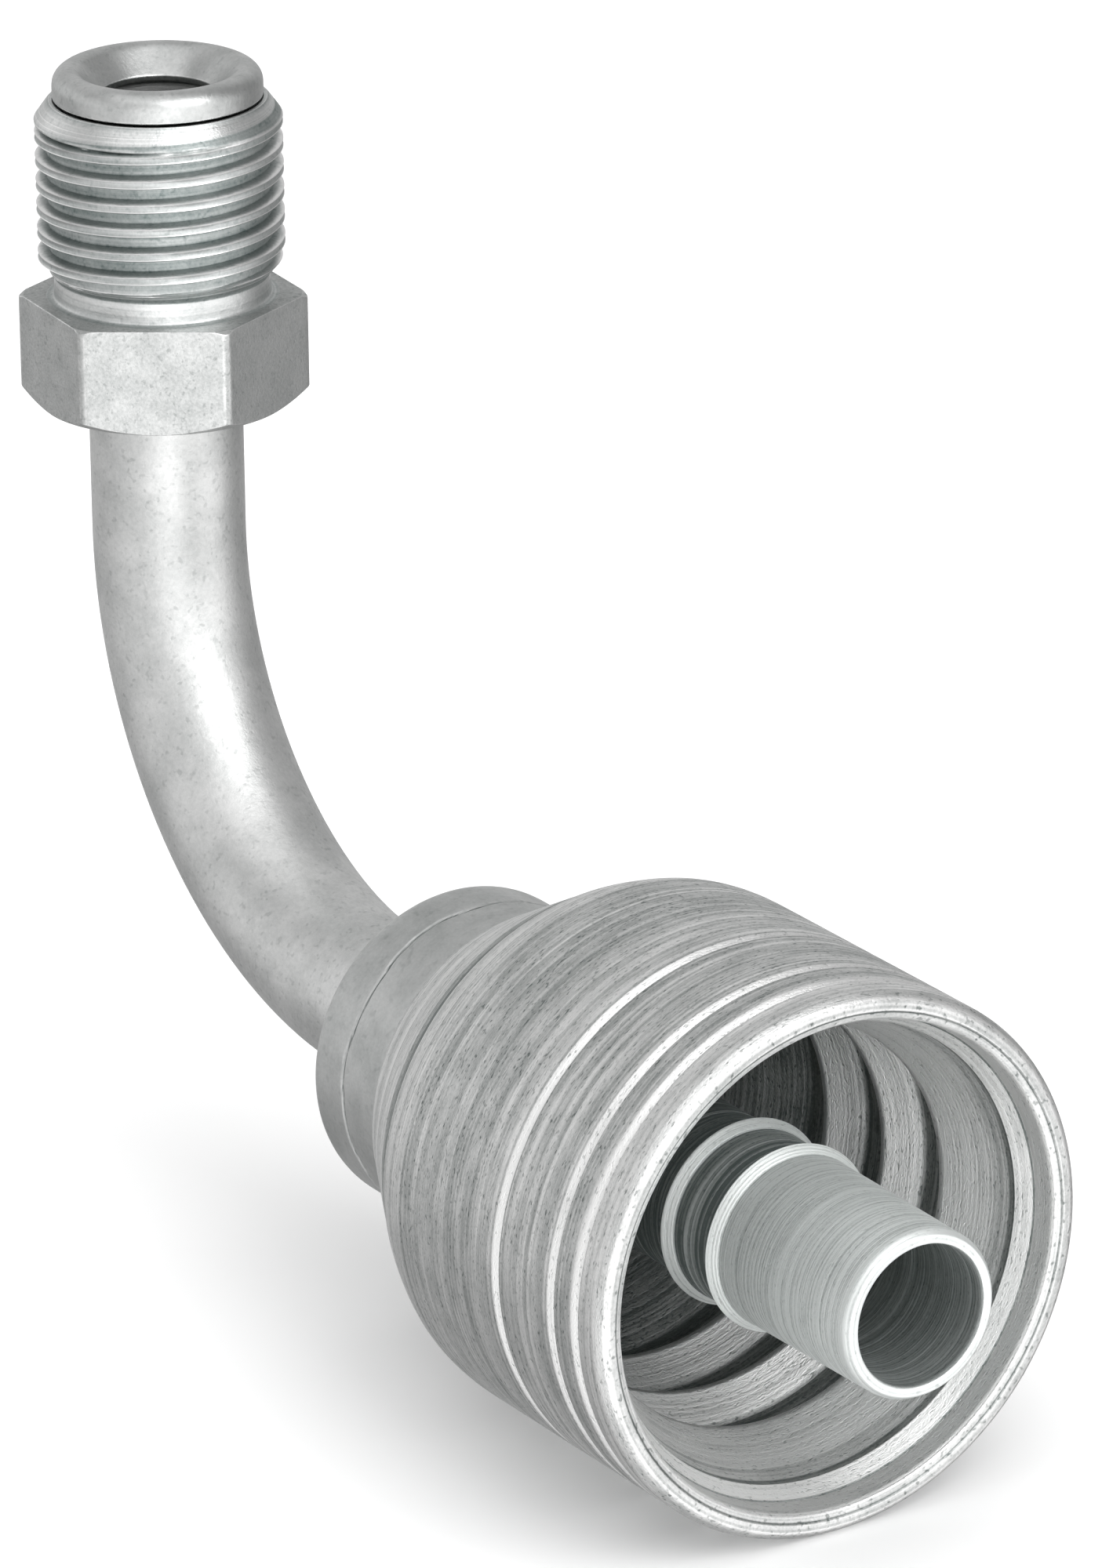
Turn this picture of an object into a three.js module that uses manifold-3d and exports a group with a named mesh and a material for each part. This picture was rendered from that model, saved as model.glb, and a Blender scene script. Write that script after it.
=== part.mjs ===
// A crimp-on hydraulic hose end: a ferrule and a barbed stem take the hose, a steel tube bent through
// 90 degrees is brazed into the stem, and a male inverted-flare nut turns freely on the tube's far end.
// Millimetres. +Z runs up the nut's axis. The hose axis is the Y axis, the mouth faces -Y at y = 0.

import * as THREE from "three";
import { mergeVertices } from "three/addons/utils/BufferGeometryUtils.js";
import Module from "manifold-3d";

const wasm = await Module();
wasm.setup();

// ---- Driving dimensions ----

const TUBE = { outer: 3.97, bore: 3.08, start: 28.7, bend: 20.0, bendStart: 40.87, top: 42.4 };
const FERRULE = {
  radius: 13.85, // outside of the shell
  rim: 13.45, // outer edge of the flat mouth face
  rimEdge: [13.75, 0.12], // middle of the rim's rounded outer edge, as radius and height
  rimEnd: 0.45, // where the rim's rounding meets the outside
  mouth: 12.7, // inner edge of the flat mouth face
  step: [[12.45, 0.3], [12.3, 1.5]], // counterbore behind the mouth
  wallFrom: 2.4, // where the counterbore's cone ends on the inside wall
  wall: 11.7, // inside wall between the teeth
  groove: 11.95, // undercut behind each tooth
  crest: 10.35, // tip of each tooth
  teeth: [6.7, 11.6, 16.5], // where the tooth tips stand along the hose axis
  tip: 0.25, // length of a tooth's flat tip
  undercut: 0.3, // length of the side behind a tooth
  rises: [4.0, 2.0, 2.0], // length of each tooth's sloping side
  taper: [[19.2, 11.95], [24.2, 8.4]], // tapered end of the bore, as height and radius
  holeFrom: 24.5, // front of the hole in the rear wall
  shoulder: [[13.85, 18.0], [13.45, 19.1], [12.95, 20.1]], // where the outside closes in
  back: 27.25, // rear face
  backRadius: 9.3,
  backEdge: [0.25, 0.2], // break of the rear face's edge, across and along
  hole: 5.8,
};
const STEM = {
  tip: -6.45,
  bore: 3.55,
  mouthChamfer: 0.3,
  nose: 4.26,
  noseEdge: [0.2, 0.35], // break of the nose's edge, across and along
  barb: 4.8, // radius over the barbs
  barbs: [4.6, 8.4], // rear edge of each barb
  land: 0.8, // length of each barb's flat top
  fall: 0.15, // length of the side behind a barb
  waist: [4.35, 6.2], // radius and height where the shank swells again to the second barb
  shank: 4.2,
  flange: 6.4,
  flangeFrom: 22.2,
  flangeRise: 0.2,
  neck: 5.6, // groove that the ferrule's rear wall is staked into
  neckFrom: 24.3,
  collar: 8.38,
  collarFrom: 27.4,
  collarTo: 34.4,
  collarEdge: 0.15, // break of the collar's front edge
  collarRound: [[0, 0.45], [0.15, 0.12], [0.45, 0]], // rounding of its rear edge, inwards and forwards
  socket: 4.1,
  socketFloor: 28.4,
};
const FLARE = {
  cone: 45, // degrees
  lip: 0.85, // rounding of the lip
  lipCentre: 4.54,
  lipHeight: 43.7,
  foot: [[5.0, 42.95], [5.22, 42.95], [5.39, 43.12]], // lower edge of the lip
  root: 0.35, // how far outside the bore the flare's cone starts in the tube's wall
  hollow: 0.2, // how far under the lip's middle the solid flare ends
  overlap: 0.3, // how far the inner cone runs into the bore
};
const NUT = {
  axisY: TUBE.bendStart + TUBE.bend,
  bore: 4.07,
  bottom: 26.9,
  hexTop: 32.45,
  across: 13.0, // across the flats
  corner: 0.5, // rounding of the hexagon's corners
  turn: 24.6, // degrees that one corner is turned from the X axis
  face: 6.45, // radius where the lower chamfer starts
  topFace: 7.15, // radius where the upper chamfer starts
  chamfer: 30,
  neck: 5.5,
  neckTo: 33.4,
  threadFrom: 33.7,
  threadTo: 42.2,
  top: 42.75,
  major: 6.35,
  minor: 5.62,
  pitch: 1.27,
  flank: [0.08, 0.92], // where a thread flank starts and ends, in half pitches
  topRadius: 5.64, // radius of the thread's top edge
  topSlope: 0.75, // how fast the thread's top cone widens
  countersink: 5.4,
  boreEdge: 0.3, // chamfer at the bore's lower end
};
const BRAZE = { from: 34.5, length: 1.6, height: 2.0, lip: 0.12, clearance: 0.12 };

const ROUND = 48; // sides of a turned piece
const NUT_SIDES = 40;
const TUBE_SIDES = 32;
const TUBE_STEPS = 23;
const THREAD_ROWS = 5; // rows of facets in one pitch
const ARC_STEPS = 4;
const LIP_STEPS = 6;
const CORNER_STEPS = 3;
const OVERRUN = 2; // how far a cutting body runs past what it cuts
const SEAT = 1; // how far the shank runs into the hexagon
const MERGE = 1e-4;
const HEX_SIDES = 6;

const rad = THREE.MathUtils.degToRad;

// ---- Helpers ----

/** Points of an arc in a profile: centre (r, h), radius, from one angle to another in degrees. */
function arc(r, h, radius, from, to, steps = ARC_STEPS) {
  return Array.from({ length: steps + 1 }, (_, i) => {
    const angle = rad(from + ((to - from) * i) / steps);
    return [r + radius * Math.cos(angle), h + radius * Math.sin(angle)];
  });
}

/** A turned solid from a profile of [radius, height] points that closes on itself, about +Y. */
function turned(profile, sides = ROUND) {
  const points = [...profile, profile[0]].map(([r, h]) => new THREE.Vector2(r, h));
  return new THREE.LatheGeometry(points, sides);
}

/** Turns a lathe's +Y axis to +Z. */
function upright(geometry) {
  return geometry.rotateX(Math.PI / 2);
}

/** A three.js geometry as a manifold solid. */
function solid(geometry) {
  const bare = geometry.clone();
  bare.deleteAttribute("normal");
  bare.deleteAttribute("uv");
  const merged = mergeVertices(bare, MERGE);
  const mesh = new wasm.Mesh({
    numProp: 3,
    vertProperties: merged.attributes.position.array,
    triVerts: new Uint32Array(merged.index.array),
  });
  return new wasm.Manifold(mesh);
}

/** A manifold solid as a flat-shaded three.js geometry. */
function geometryOf(made) {
  const mesh = made.getMesh();
  const geometry = new THREE.BufferGeometry();
  geometry.setAttribute("position", new THREE.BufferAttribute(mesh.vertProperties, 3));
  geometry.setIndex(new THREE.BufferAttribute(mesh.triVerts, 1));
  geometry.computeVertexNormals();
  return geometry;
}

/** A round bar of one radius along a path, with closed ends. */
function bar(path, radius) {
  const section = new THREE.Shape().absarc(0, 0, radius, 0, 2 * Math.PI);
  return new THREE.ExtrudeGeometry(section, {
    steps: TUBE_STEPS,
    curveSegments: TUBE_SIDES / 2,
    extrudePath: path,
  });
}

// ---- Ferrule ----

/** Inside of the ferrule from the mouth to the rear wall: a step, three saw teeth and a tapered end. */
function ferruleBore() {
  const step = [[FERRULE.mouth, 0], ...FERRULE.step, [FERRULE.wall, FERRULE.wallFrom]];
  const teeth = FERRULE.teeth.flatMap((tip, i) => [
    [FERRULE.wall, tip - FERRULE.rises[i]],
    [FERRULE.crest, tip - FERRULE.tip],
    [FERRULE.crest, tip],
    [FERRULE.groove, tip + FERRULE.undercut],
  ]);
  const taper = FERRULE.taper.map(([height, radius]) => [radius, height]);
  return [...step, ...teeth, ...taper, [FERRULE.hole, FERRULE.holeFrom], [FERRULE.hole, FERRULE.back]];
}

/** Outside of the ferrule, from the mouth to the rear face. */
function ferruleOutside() {
  return [
    [FERRULE.rim, 0],
    FERRULE.rimEdge,
    [FERRULE.radius, FERRULE.rimEnd],
    ...FERRULE.shoulder,
    [FERRULE.backRadius, FERRULE.back - FERRULE.backEdge[1]],
    [FERRULE.backRadius - FERRULE.backEdge[0], FERRULE.back],
  ];
}

/** The shell that is crimped on the hose. */
function ferrule() {
  return turned([...ferruleOutside(), ...ferruleBore().reverse()]);
}

// ---- Stem ----

/** One barb: a sloping front, a flat land and a sharp rear edge. */
function barb(edge) {
  return [
    [STEM.barb, edge - STEM.land],
    [STEM.barb, edge],
    [STEM.shank, edge + STEM.fall],
  ];
}

/** The front of the stem, from its tip over the barbs to the flange. */
function stemShank() {
  return [
    [STEM.bore + STEM.mouthChamfer, STEM.tip],
    [STEM.nose - STEM.noseEdge[0], STEM.tip],
    [STEM.nose, STEM.tip + STEM.noseEdge[1]],
    ...barb(STEM.barbs[0]),
    STEM.waist,
    ...barb(STEM.barbs[1]),
    [STEM.shank, STEM.flangeFrom],
    [STEM.flange, STEM.flangeFrom + STEM.flangeRise],
    [STEM.flange, STEM.neckFrom],
  ];
}

/** The rear of the stem: the neck under the ferrule's wall and the collar that holds the tube. */
function stemCollar() {
  return [
    [STEM.neck, STEM.neckFrom],
    [STEM.neck, STEM.collarFrom],
    [STEM.collar - STEM.collarEdge, STEM.collarFrom],
    [STEM.collar, STEM.collarFrom + STEM.collarEdge],
    ...STEM.collarRound.map(([inwards, forwards]) => [STEM.collar - inwards, STEM.collarTo - forwards]),
  ];
}

/** The barbed stem with its bore and the socket for the tube. */
function stem() {
  const inside = [
    [STEM.socket, STEM.collarTo],
    [STEM.socket, STEM.socketFloor],
    [STEM.bore, STEM.socketFloor],
    [STEM.bore, STEM.tip + STEM.mouthChamfer],
  ];
  return turned([...stemShank(), ...stemCollar(), ...inside]);
}

// ---- Braze fillet ----

/** The hollow-faced ring of filler metal that joins the tube to the stem's collar. */
function braze() {
  const inner = TUBE.outer + BRAZE.clearance;
  const face = Array.from({ length: ARC_STEPS + 1 }, (_, i) => {
    const angle = rad(270 - (90 * i) / ARC_STEPS);
    return [
      inner + BRAZE.lip + BRAZE.height * (1 + Math.cos(angle)),
      BRAZE.from + BRAZE.lip + BRAZE.length * (1 + Math.sin(angle)),
    ];
  });
  const low = [[inner, BRAZE.from], [inner + BRAZE.lip + BRAZE.height, BRAZE.from]];
  const high = [[inner, BRAZE.from + BRAZE.lip + BRAZE.length]];
  return turned([...low, ...face, ...high], TUBE_SIDES);
}

// ---- Bent tube ----

/** The tube's centre line: out of the stem, round the bend and up to the flare. */
function centreLine(from, to) {
  const path = new THREE.CurvePath();
  const corner = new THREE.Vector3(0, TUBE.bendStart, 0);
  const rise = new THREE.Vector3(0, NUT.axisY, TUBE.bend);
  path.add(new THREE.LineCurve3(new THREE.Vector3(0, from, 0), corner));
  const quarter = new THREE.Curve();
  quarter.getPoint = (t, target = new THREE.Vector3()) => {
    const angle = (t * Math.PI) / 2;
    return target.set(
      0,
      TUBE.bendStart + TUBE.bend * Math.sin(angle),
      TUBE.bend * (1 - Math.cos(angle)),
    );
  };
  path.add(quarter);
  path.add(new THREE.LineCurve3(rise, new THREE.Vector3(0, NUT.axisY, to)));
  return path;
}

/** The flared mouth: a cone outside, a rounded lip and a cone inside, on the tube's own axis. */
function flareSolid() {
  const slope = Math.tan(rad(FLARE.cone));
  const outer = FLARE.lipCentre + FLARE.lip * Math.cos(rad(FLARE.cone));
  const low = FLARE.lipHeight - FLARE.lip * Math.sin(rad(FLARE.cone));
  const start = TUBE.bore + FLARE.root;
  const profile = [
    [0, low - (outer - start) * slope],
    [start, low - (outer - start) * slope],
    ...FLARE.foot,
    ...arc(FLARE.lipCentre, FLARE.lipHeight, FLARE.lip, 0, 180 - FLARE.cone, LIP_STEPS),
    [0, FLARE.lipHeight - FLARE.hollow],
  ];
  const points = profile.map(([r, h]) => new THREE.Vector2(r, h));
  return new THREE.LatheGeometry(points, ROUND);
}

/** The cone that is taken out of the flare, down to the tube's bore. */
function flareCone() {
  const inner = FLARE.lipCentre - FLARE.lip * Math.cos(rad(FLARE.cone));
  const high = FLARE.lipHeight + FLARE.lip * Math.sin(rad(FLARE.cone));
  const depth = inner - TUBE.bore + FLARE.overlap;
  const points = [
    [0, high - depth],
    [TUBE.bore - FLARE.overlap, high - depth],
    [inner + OVERRUN, high + OVERRUN],
    [0, high + OVERRUN],
  ].map(([r, h]) => new THREE.Vector2(r, h));
  return new THREE.LatheGeometry(points, ROUND);
}

/** The tube bent through a right angle, with its flare. */
function bentTube() {
  const onNut = (geometry) => upright(geometry).translate(0, NUT.axisY, 0);
  const outside = solid(bar(centreLine(TUBE.start, TUBE.top), TUBE.outer)).add(solid(onNut(flareSolid())));
  const bore = solid(bar(centreLine(TUBE.start - OVERRUN, FLARE.lipHeight + OVERRUN), TUBE.bore));
  return geometryOf(outside.subtract(bore).subtract(solid(onNut(flareCone()))));
}

// ---- Swivel nut ----

/** A hexagon with rounded corners. */
function hexagon() {
  const shape = new THREE.Shape();
  const half = Math.PI / HEX_SIDES;
  const radius = (NUT.across / 2 - NUT.corner) / Math.cos(half);
  for (let side = 0; side < HEX_SIDES; side += 1) {
    const middle = 2 * half * side;
    const [x, y] = [radius * Math.cos(middle), radius * Math.sin(middle)];
    shape.absarc(x, y, NUT.corner, middle - half, middle + half);
  }
  shape.closePath();
  return shape;
}

/** The hexagonal part, its corners turned back to a chamfer at both ends, deep below and slight above. */
function hexSolid() {
  const settings = { depth: NUT.hexTop - NUT.bottom, bevelEnabled: false, curveSegments: CORNER_STEPS };
  const prism = new THREE.ExtrudeGeometry(hexagon(), settings);
  prism.translate(0, 0, NUT.bottom);
  const reach = NUT.face + OVERRUN;
  const drop = (from) => (reach - from) * Math.tan(rad(NUT.chamfer));
  const cone = [
    [0, NUT.bottom],
    [NUT.face, NUT.bottom],
    [reach, NUT.bottom + drop(NUT.face)],
    [reach, NUT.hexTop - drop(NUT.topFace)],
    [NUT.topFace, NUT.hexTop],
    [0, NUT.hexTop],
  ].map(([r, h]) => new THREE.Vector2(r, h));
  return solid(prism).intersect(solid(upright(new THREE.LatheGeometry(cone, NUT_SIDES))));
}

/** How far a thread stands above its root, 0 to 1, at a point in its pitch from 0 to 1. */
function threadForm(phase) {
  const across = Math.abs(phase - Math.floor(phase) - 0.5) * 2;
  return THREE.MathUtils.smoothstep(1 - across, ...NUT.flank);
}

/** Radius of the threaded shank at a place: the thread fades in at its foot and meets a cone at its top. */
function threadRadius(angle, z) {
  const height = threadForm(z / NUT.pitch - angle / (2 * Math.PI));
  const lead = THREE.MathUtils.smoothstep(z, NUT.threadFrom, NUT.threadFrom + NUT.pitch);
  const limit = Math.min(NUT.major, NUT.topRadius + (NUT.top - z) * NUT.topSlope);
  return Math.min(NUT.minor + (NUT.major - NUT.minor) * height * lead, limit);
}

/** The neck and the shank before the thread is cut, with rows of points where the thread goes. */
function shankBlank() {
  const length = NUT.threadTo - NUT.threadFrom;
  const rows = Math.round((length / NUT.pitch) * THREAD_ROWS);
  const thread = Array.from({ length: rows + 1 }, (_, i) => [
    NUT.minor,
    NUT.threadFrom + (length * i) / rows,
  ]);
  const profile = [
    [0, NUT.hexTop - SEAT],
    [NUT.neck, NUT.hexTop - SEAT],
    [NUT.neck, NUT.neckTo],
    ...thread,
    [NUT.minor, NUT.top],
    [0, NUT.top],
  ].map(([r, h]) => new THREE.Vector2(r, h));
  return upright(new THREE.LatheGeometry(profile, NUT_SIDES));
}

/** The neck and the threaded shank, with a right-hand thread. */
function shankSolid() {
  const geometry = shankBlank();
  const position = geometry.getAttribute("position");
  for (let i = 0; i < position.count; i += 1) {
    const [x, y, z] = [position.getX(i), position.getY(i), position.getZ(i)];
    const inThread = z > NUT.threadFrom - MERGE && z < NUT.threadTo + MERGE;
    if (inThread && Math.hypot(x, y) > SEAT) {
      const scale = threadRadius(Math.atan2(y, x), z) / NUT.minor;
      position.setXYZ(i, x * scale, y * scale, z);
    }
  }
  return solid(geometry);
}

/** The running bore, with the cone at its top that backs the flare. */
function nutBore() {
  const depth = NUT.countersink - NUT.bore;
  const points = [
    [0, NUT.bottom - OVERRUN],
    [NUT.bore + NUT.boreEdge + OVERRUN, NUT.bottom - OVERRUN],
    [NUT.bore, NUT.bottom + NUT.boreEdge],
    [NUT.bore, NUT.top - depth],
    [NUT.countersink + OVERRUN, NUT.top + OVERRUN],
    [0, NUT.top + OVERRUN],
  ].map(([r, h]) => new THREE.Vector2(r, h));
  return solid(upright(new THREE.LatheGeometry(points, NUT_SIDES)));
}

/** The nut: hexagon, threaded shank and running bore. */
function swivelNut() {
  return geometryOf(hexSolid().add(shankSolid()).subtract(nutBore()));
}

// ---- Assembly ----

const part = new THREE.Group();
part.name = "hose_end";

/** Adds one named piece with its own finish. */
function addPiece(name, geometry, finish, parent = part) {
  const mesh = new THREE.Mesh(geometry, new THREE.MeshStandardMaterial({ metalness: 1, ...finish }));
  mesh.name = name;
  parent.add(mesh);
  return mesh;
}

addPiece("ferrule", ferrule(), { color: 0xb9bab7, roughness: 0.38 });
addPiece("hose_stem", stem(), { color: 0xa9b0ae, roughness: 0.3 });
addPiece("braze_fillet", braze(), { color: 0xabacaa, roughness: 0.5 });
addPiece("bent_tube", bentTube(), { color: 0xb4b5b5, roughness: 0.48 });

const nut = new THREE.Group();
nut.position.set(0, NUT.axisY, 0);
nut.rotation.z = rad(NUT.turn);
part.add(nut);
addPiece("swivel_nut", swivelNut(), { color: 0xb3b7b6, roughness: 0.33 }, nut);

export default part;
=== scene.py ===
"""A crimp-on hydraulic hose end in zinc-plated steel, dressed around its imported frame.

The hose axis is Y, with the ferrule's mouth facing -Y. The nut's axis stands along Z. Sizes inside the
classes are millimetres; everything that reaches Blender is metres.
"""

import logging
import math
from dataclasses import dataclass, field
from enum import Enum
from typing import Callable, Iterable, Sequence

import bmesh
import bpy
import numpy as np
from mathutils import Matrix, Vector


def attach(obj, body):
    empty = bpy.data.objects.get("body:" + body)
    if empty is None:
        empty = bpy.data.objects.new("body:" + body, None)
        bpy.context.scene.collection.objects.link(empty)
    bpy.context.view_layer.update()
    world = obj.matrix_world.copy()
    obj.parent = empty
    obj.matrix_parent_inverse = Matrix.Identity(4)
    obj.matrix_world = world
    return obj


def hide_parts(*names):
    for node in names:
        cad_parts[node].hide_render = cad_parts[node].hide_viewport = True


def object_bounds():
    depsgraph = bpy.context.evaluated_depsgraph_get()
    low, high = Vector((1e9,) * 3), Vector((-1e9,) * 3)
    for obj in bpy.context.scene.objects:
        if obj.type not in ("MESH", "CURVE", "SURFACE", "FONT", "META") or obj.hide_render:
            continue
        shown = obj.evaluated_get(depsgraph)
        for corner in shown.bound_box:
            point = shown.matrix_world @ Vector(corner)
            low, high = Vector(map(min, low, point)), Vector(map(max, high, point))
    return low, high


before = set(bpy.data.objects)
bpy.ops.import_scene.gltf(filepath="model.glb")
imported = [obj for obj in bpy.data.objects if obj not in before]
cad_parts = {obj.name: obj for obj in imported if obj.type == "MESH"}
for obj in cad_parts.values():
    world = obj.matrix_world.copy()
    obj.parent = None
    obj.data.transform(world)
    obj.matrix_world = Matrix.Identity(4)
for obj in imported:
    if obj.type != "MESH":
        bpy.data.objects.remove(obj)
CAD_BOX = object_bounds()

MM = 0.001
FILLET_STEPS = 5  # facets round a broken edge
GUARD = 0.12  # mm from an edge to the row that keeps its wear narrow
LONGEST_ROW = 0.8  # mm, the longest straight facet along an outline
MOST_BACK = 0.45  # the most of a stretch that a broken edge takes
TINY = 1e-9
WELD = 1e-6  # metres
CREASE = math.radians(40)  # edges sharper than this stay crisp
WEAR_FROM, WEAR_FULL = math.radians(4), math.radians(20)
HALF = 0.5  # between a mask's 0 and 1, and added to a whole number before it is divided and floored
NOISE_MIDDLE = 0.5
NOISE_DETAIL = 3.0
SEAM_WAVES = 1.6  # how fast the seam wanders, over one radius
LEAD_IN = 2.0  # pitches added so that every row of a thread counts up from zero
RUN_OUT = 0.25  # pitches over which the last groove ends

log = logging.getLogger("hose_end")

Colour = tuple[float, float, float]
Node = bpy.types.Node
Socket = bpy.types.NodeSocket
Piece = bpy.types.Object
Mesh = bpy.types.Mesh
Material = bpy.types.Material
Feed = Socket | Material | Sequence[float] | float | str | None


class Body(Enum):
    """The bodies that move apart from each other."""

    FITTING = "fitting"
    NUT = "nut"


class Axis(Enum):
    """Which way a turned piece's axis points, as the turn that takes +Z there."""

    HOSE = (-math.pi / 2, 0.0, 0.0)
    NUT = (0.0, 0.0, 0.0)


class Shine(float, Enum):
    """How bright the plating's colour is on a stretch of an outline, from a dark recess to a burnished land.
    The values are partly the finish and partly painted light: SHADE paints shade into recesses, gaps and
    undercuts, and the bright values paint highlights on faces turned to the light.
    """

    SHADE = 0.0
    DULL = 0.2
    MATT = 0.36
    SATIN = 0.5
    CLEAN = 0.68
    BRIGHT = 0.85
    BURNISHED = 1.0


# ---- Node trees ----


class NodeGraph:
    """Adds nodes to a tree and wires them, one call to a node."""

    def __init__(self, tree: bpy.types.NodeTree) -> None:
        """Keeps the tree that the nodes go into."""
        self.tree = tree

    def feed(self, socket: Socket, value: Feed) -> None:
        """Links a socket to another, sets its value, or leaves it alone for None."""
        if isinstance(value, Socket):
            self.tree.links.new(value, socket)
        elif value is not None:
            socket.default_value = value

    def feed_named(self, node: Node, feeds: dict[str, Feed]) -> None:
        """Feeds a node's inputs by name."""
        for name, value in feeds.items():
            self.feed(node.inputs[name], value)

    def add(self, kind: str, *feeds: Feed, out: int | str = 0, **settings: object) -> Socket:
        """Adds one node.

        Args:
            kind: The node's type name.
            feeds: What goes into its inputs in order: a socket, a value, or None.
            out: Which output to give back.
            settings: The node's own settings.

        Returns:
            The output socket asked for.
        """
        node = self.tree.nodes.new(kind)
        for name, value in settings.items():
            setattr(node, name, value)
        for socket, value in zip(node.inputs, feeds):
            self.feed(socket, value)
        return node.outputs[out]

    def math(self, operation: str, *feeds: Feed, clamp: bool = False) -> Socket:
        """A Math node."""
        return self.add("ShaderNodeMath", *feeds, operation=operation, use_clamp=clamp)

    def plus(self, one: Feed, other: Feed) -> Socket:
        """One and the other."""
        return self.math("ADD", one, other)

    def minus(self, one: Feed, other: Feed) -> Socket:
        """One less the other."""
        return self.math("SUBTRACT", one, other)

    def times(self, one: Feed, other: Feed) -> Socket:
        """One times the other."""
        return self.math("MULTIPLY", one, other)

    def over(self, one: Feed, other: Feed) -> Socket:
        """One divided by the other."""
        return self.math("DIVIDE", one, other)

    def fused(self, one: Feed, other: Feed, rest: Feed) -> Socket:
        """One times the other, plus the rest."""
        return self.math("MULTIPLY_ADD", one, other, rest)

    def ramp(self, value: Feed, low: Feed, high: Feed, start: Feed = 0.0, end: Feed = 1.0) -> Socket:
        """Takes value from low..high to start..end, smoothly and without leaving it."""
        return self.add("ShaderNodeMapRange", value, low, high, start, end, interpolation_type="SMOOTHSTEP")

    def combine(self, *feeds: Feed) -> Socket:
        """A vector from its three parts."""
        return self.add("ShaderNodeCombineXYZ", *feeds)

    def parts(self, vector: Feed) -> list[Socket]:
        """The three parts of a vector."""
        node = self.add("ShaderNodeSeparateXYZ", vector).node
        return list(node.outputs)


class GeometryTree(NodeGraph):
    """A Geometry Nodes tree with named inputs, ending in Realize Instances and Set Material."""

    def __init__(self, name: str) -> None:
        """Makes the tree with its geometry and finish inputs."""
        super().__init__(bpy.data.node_groups.new(name, "GeometryNodeTree"))
        self.tree.interface.new_socket("Geometry", in_out="INPUT", socket_type="NodeSocketGeometry")
        self.tree.interface.new_socket("Geometry", in_out="OUTPUT", socket_type="NodeSocketGeometry")
        self.inputs = self.tree.nodes.new("NodeGroupInput")
        self.identifiers: dict[str, str] = {}
        self.finish = self.input("Finish", "NodeSocketMaterial")

    @property
    def geometry(self) -> Socket:
        """The geometry that comes in."""
        return self.inputs.outputs[0]

    def input(self, name: str, kind: str = "NodeSocketFloat") -> Socket:
        """Adds a named input and gives its socket inside the tree."""
        socket = self.tree.interface.new_socket(name, in_out="INPUT", socket_type=kind)
        self.identifiers[name] = socket.identifier
        return self.inputs.outputs[name]

    def attribute(self, name: str) -> Socket:
        """A named number on the points."""
        return self.add("GeometryNodeInputNamedAttribute", name, data_type="FLOAT")

    def store(self, geometry: Feed, name: str, value: Feed) -> Socket:
        """Keeps a number on the points under a name."""
        return self.add("GeometryNodeStoreNamedAttribute", geometry, None, name, value, data_type="FLOAT")

    def sample(self, source: Feed, value: Feed, index: Feed, kind: str) -> Socket:
        """Reads a value from one point of another geometry."""
        out = self.add("GeometryNodeSampleIndex", data_type=kind, domain="POINT")
        self.feed_named(out.node, {"Geometry": source, "Value": value, "Index": index})
        return out

    def moved(self, geometry: Feed, position: Feed) -> Socket:
        """Puts every point at a new position."""
        return self.add("GeometryNodeSetPosition", geometry, None, position)

    def close(self, geometry: Feed) -> None:
        """Ends the tree: no instances, one finish."""
        real = self.add("GeometryNodeRealizeInstances", geometry)
        dressed = self.add("GeometryNodeSetMaterial", real, None, self.finish)
        output = self.tree.nodes.new("NodeGroupOutput")
        self.tree.links.new(dressed, output.inputs[0])

    def apply(self, piece: Piece, values: dict[str, Feed]) -> None:
        """Puts the tree on a piece and turns the result into a plain mesh.

        Args:
            piece: The object whose mesh goes through the tree.
            values: Each named input's value.
        """
        modifier = piece.modifiers.new(self.tree.name, "NODES")
        modifier.node_group = self.tree
        for name, value in values.items():
            modifier[self.identifiers[name]] = value
        graph = bpy.context.evaluated_depsgraph_get()
        shaped = piece.evaluated_get(graph)
        made = bpy.data.meshes.new_from_object(shaped, preserve_all_data_layers=True, depsgraph=graph)
        piece.modifiers.clear()
        piece.data = made


def turning_tree() -> GeometryTree:
    """A lathe: turns an outline of points in the XZ plane about Z, then lays the axis where it belongs."""
    tree = GeometryTree("turn_outline")
    sides = tree.input("Sides", "NodeSocketInt")
    tilt = tree.input("Axis turn", "NodeSocketVector")
    outline = tree.geometry
    rows = tree.add("GeometryNodeAttributeDomainSize", outline, out="Point Count", component="MESH")
    grid = tree.add("GeometryNodeMeshGrid", 1.0, 1.0, tree.plus(sides, 1.0), rows)
    index = tree.add("GeometryNodeInputIndex")
    column = tree.math("FLOOR", tree.over(tree.plus(index, HALF), rows))
    row = tree.minus(index, tree.times(column, rows))
    point = tree.sample(outline, tree.add("GeometryNodeInputPosition"), row, "FLOAT_VECTOR")
    radius, _, height = tree.parts(point)
    angle = tree.over(tree.times(column, math.tau), sides)
    across = tree.times(radius, tree.math("COSINE", angle))
    along = tree.times(radius, tree.math("SINE", angle))
    shape = tree.moved(grid, tree.combine(across, along, height))
    for name in ("run", "finish_and_painted_light"):
        shape = tree.store(shape, name, tree.sample(outline, tree.attribute(name), row, "FLOAT"))
    welded = tree.add("GeometryNodeMergeByDistance", shape, None, WELD)
    laid = tree.add("GeometryNodeTransform", welded)
    tree.feed_named(laid.node, {"Rotation": tilt})
    tree.close(laid)
    return tree


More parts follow.
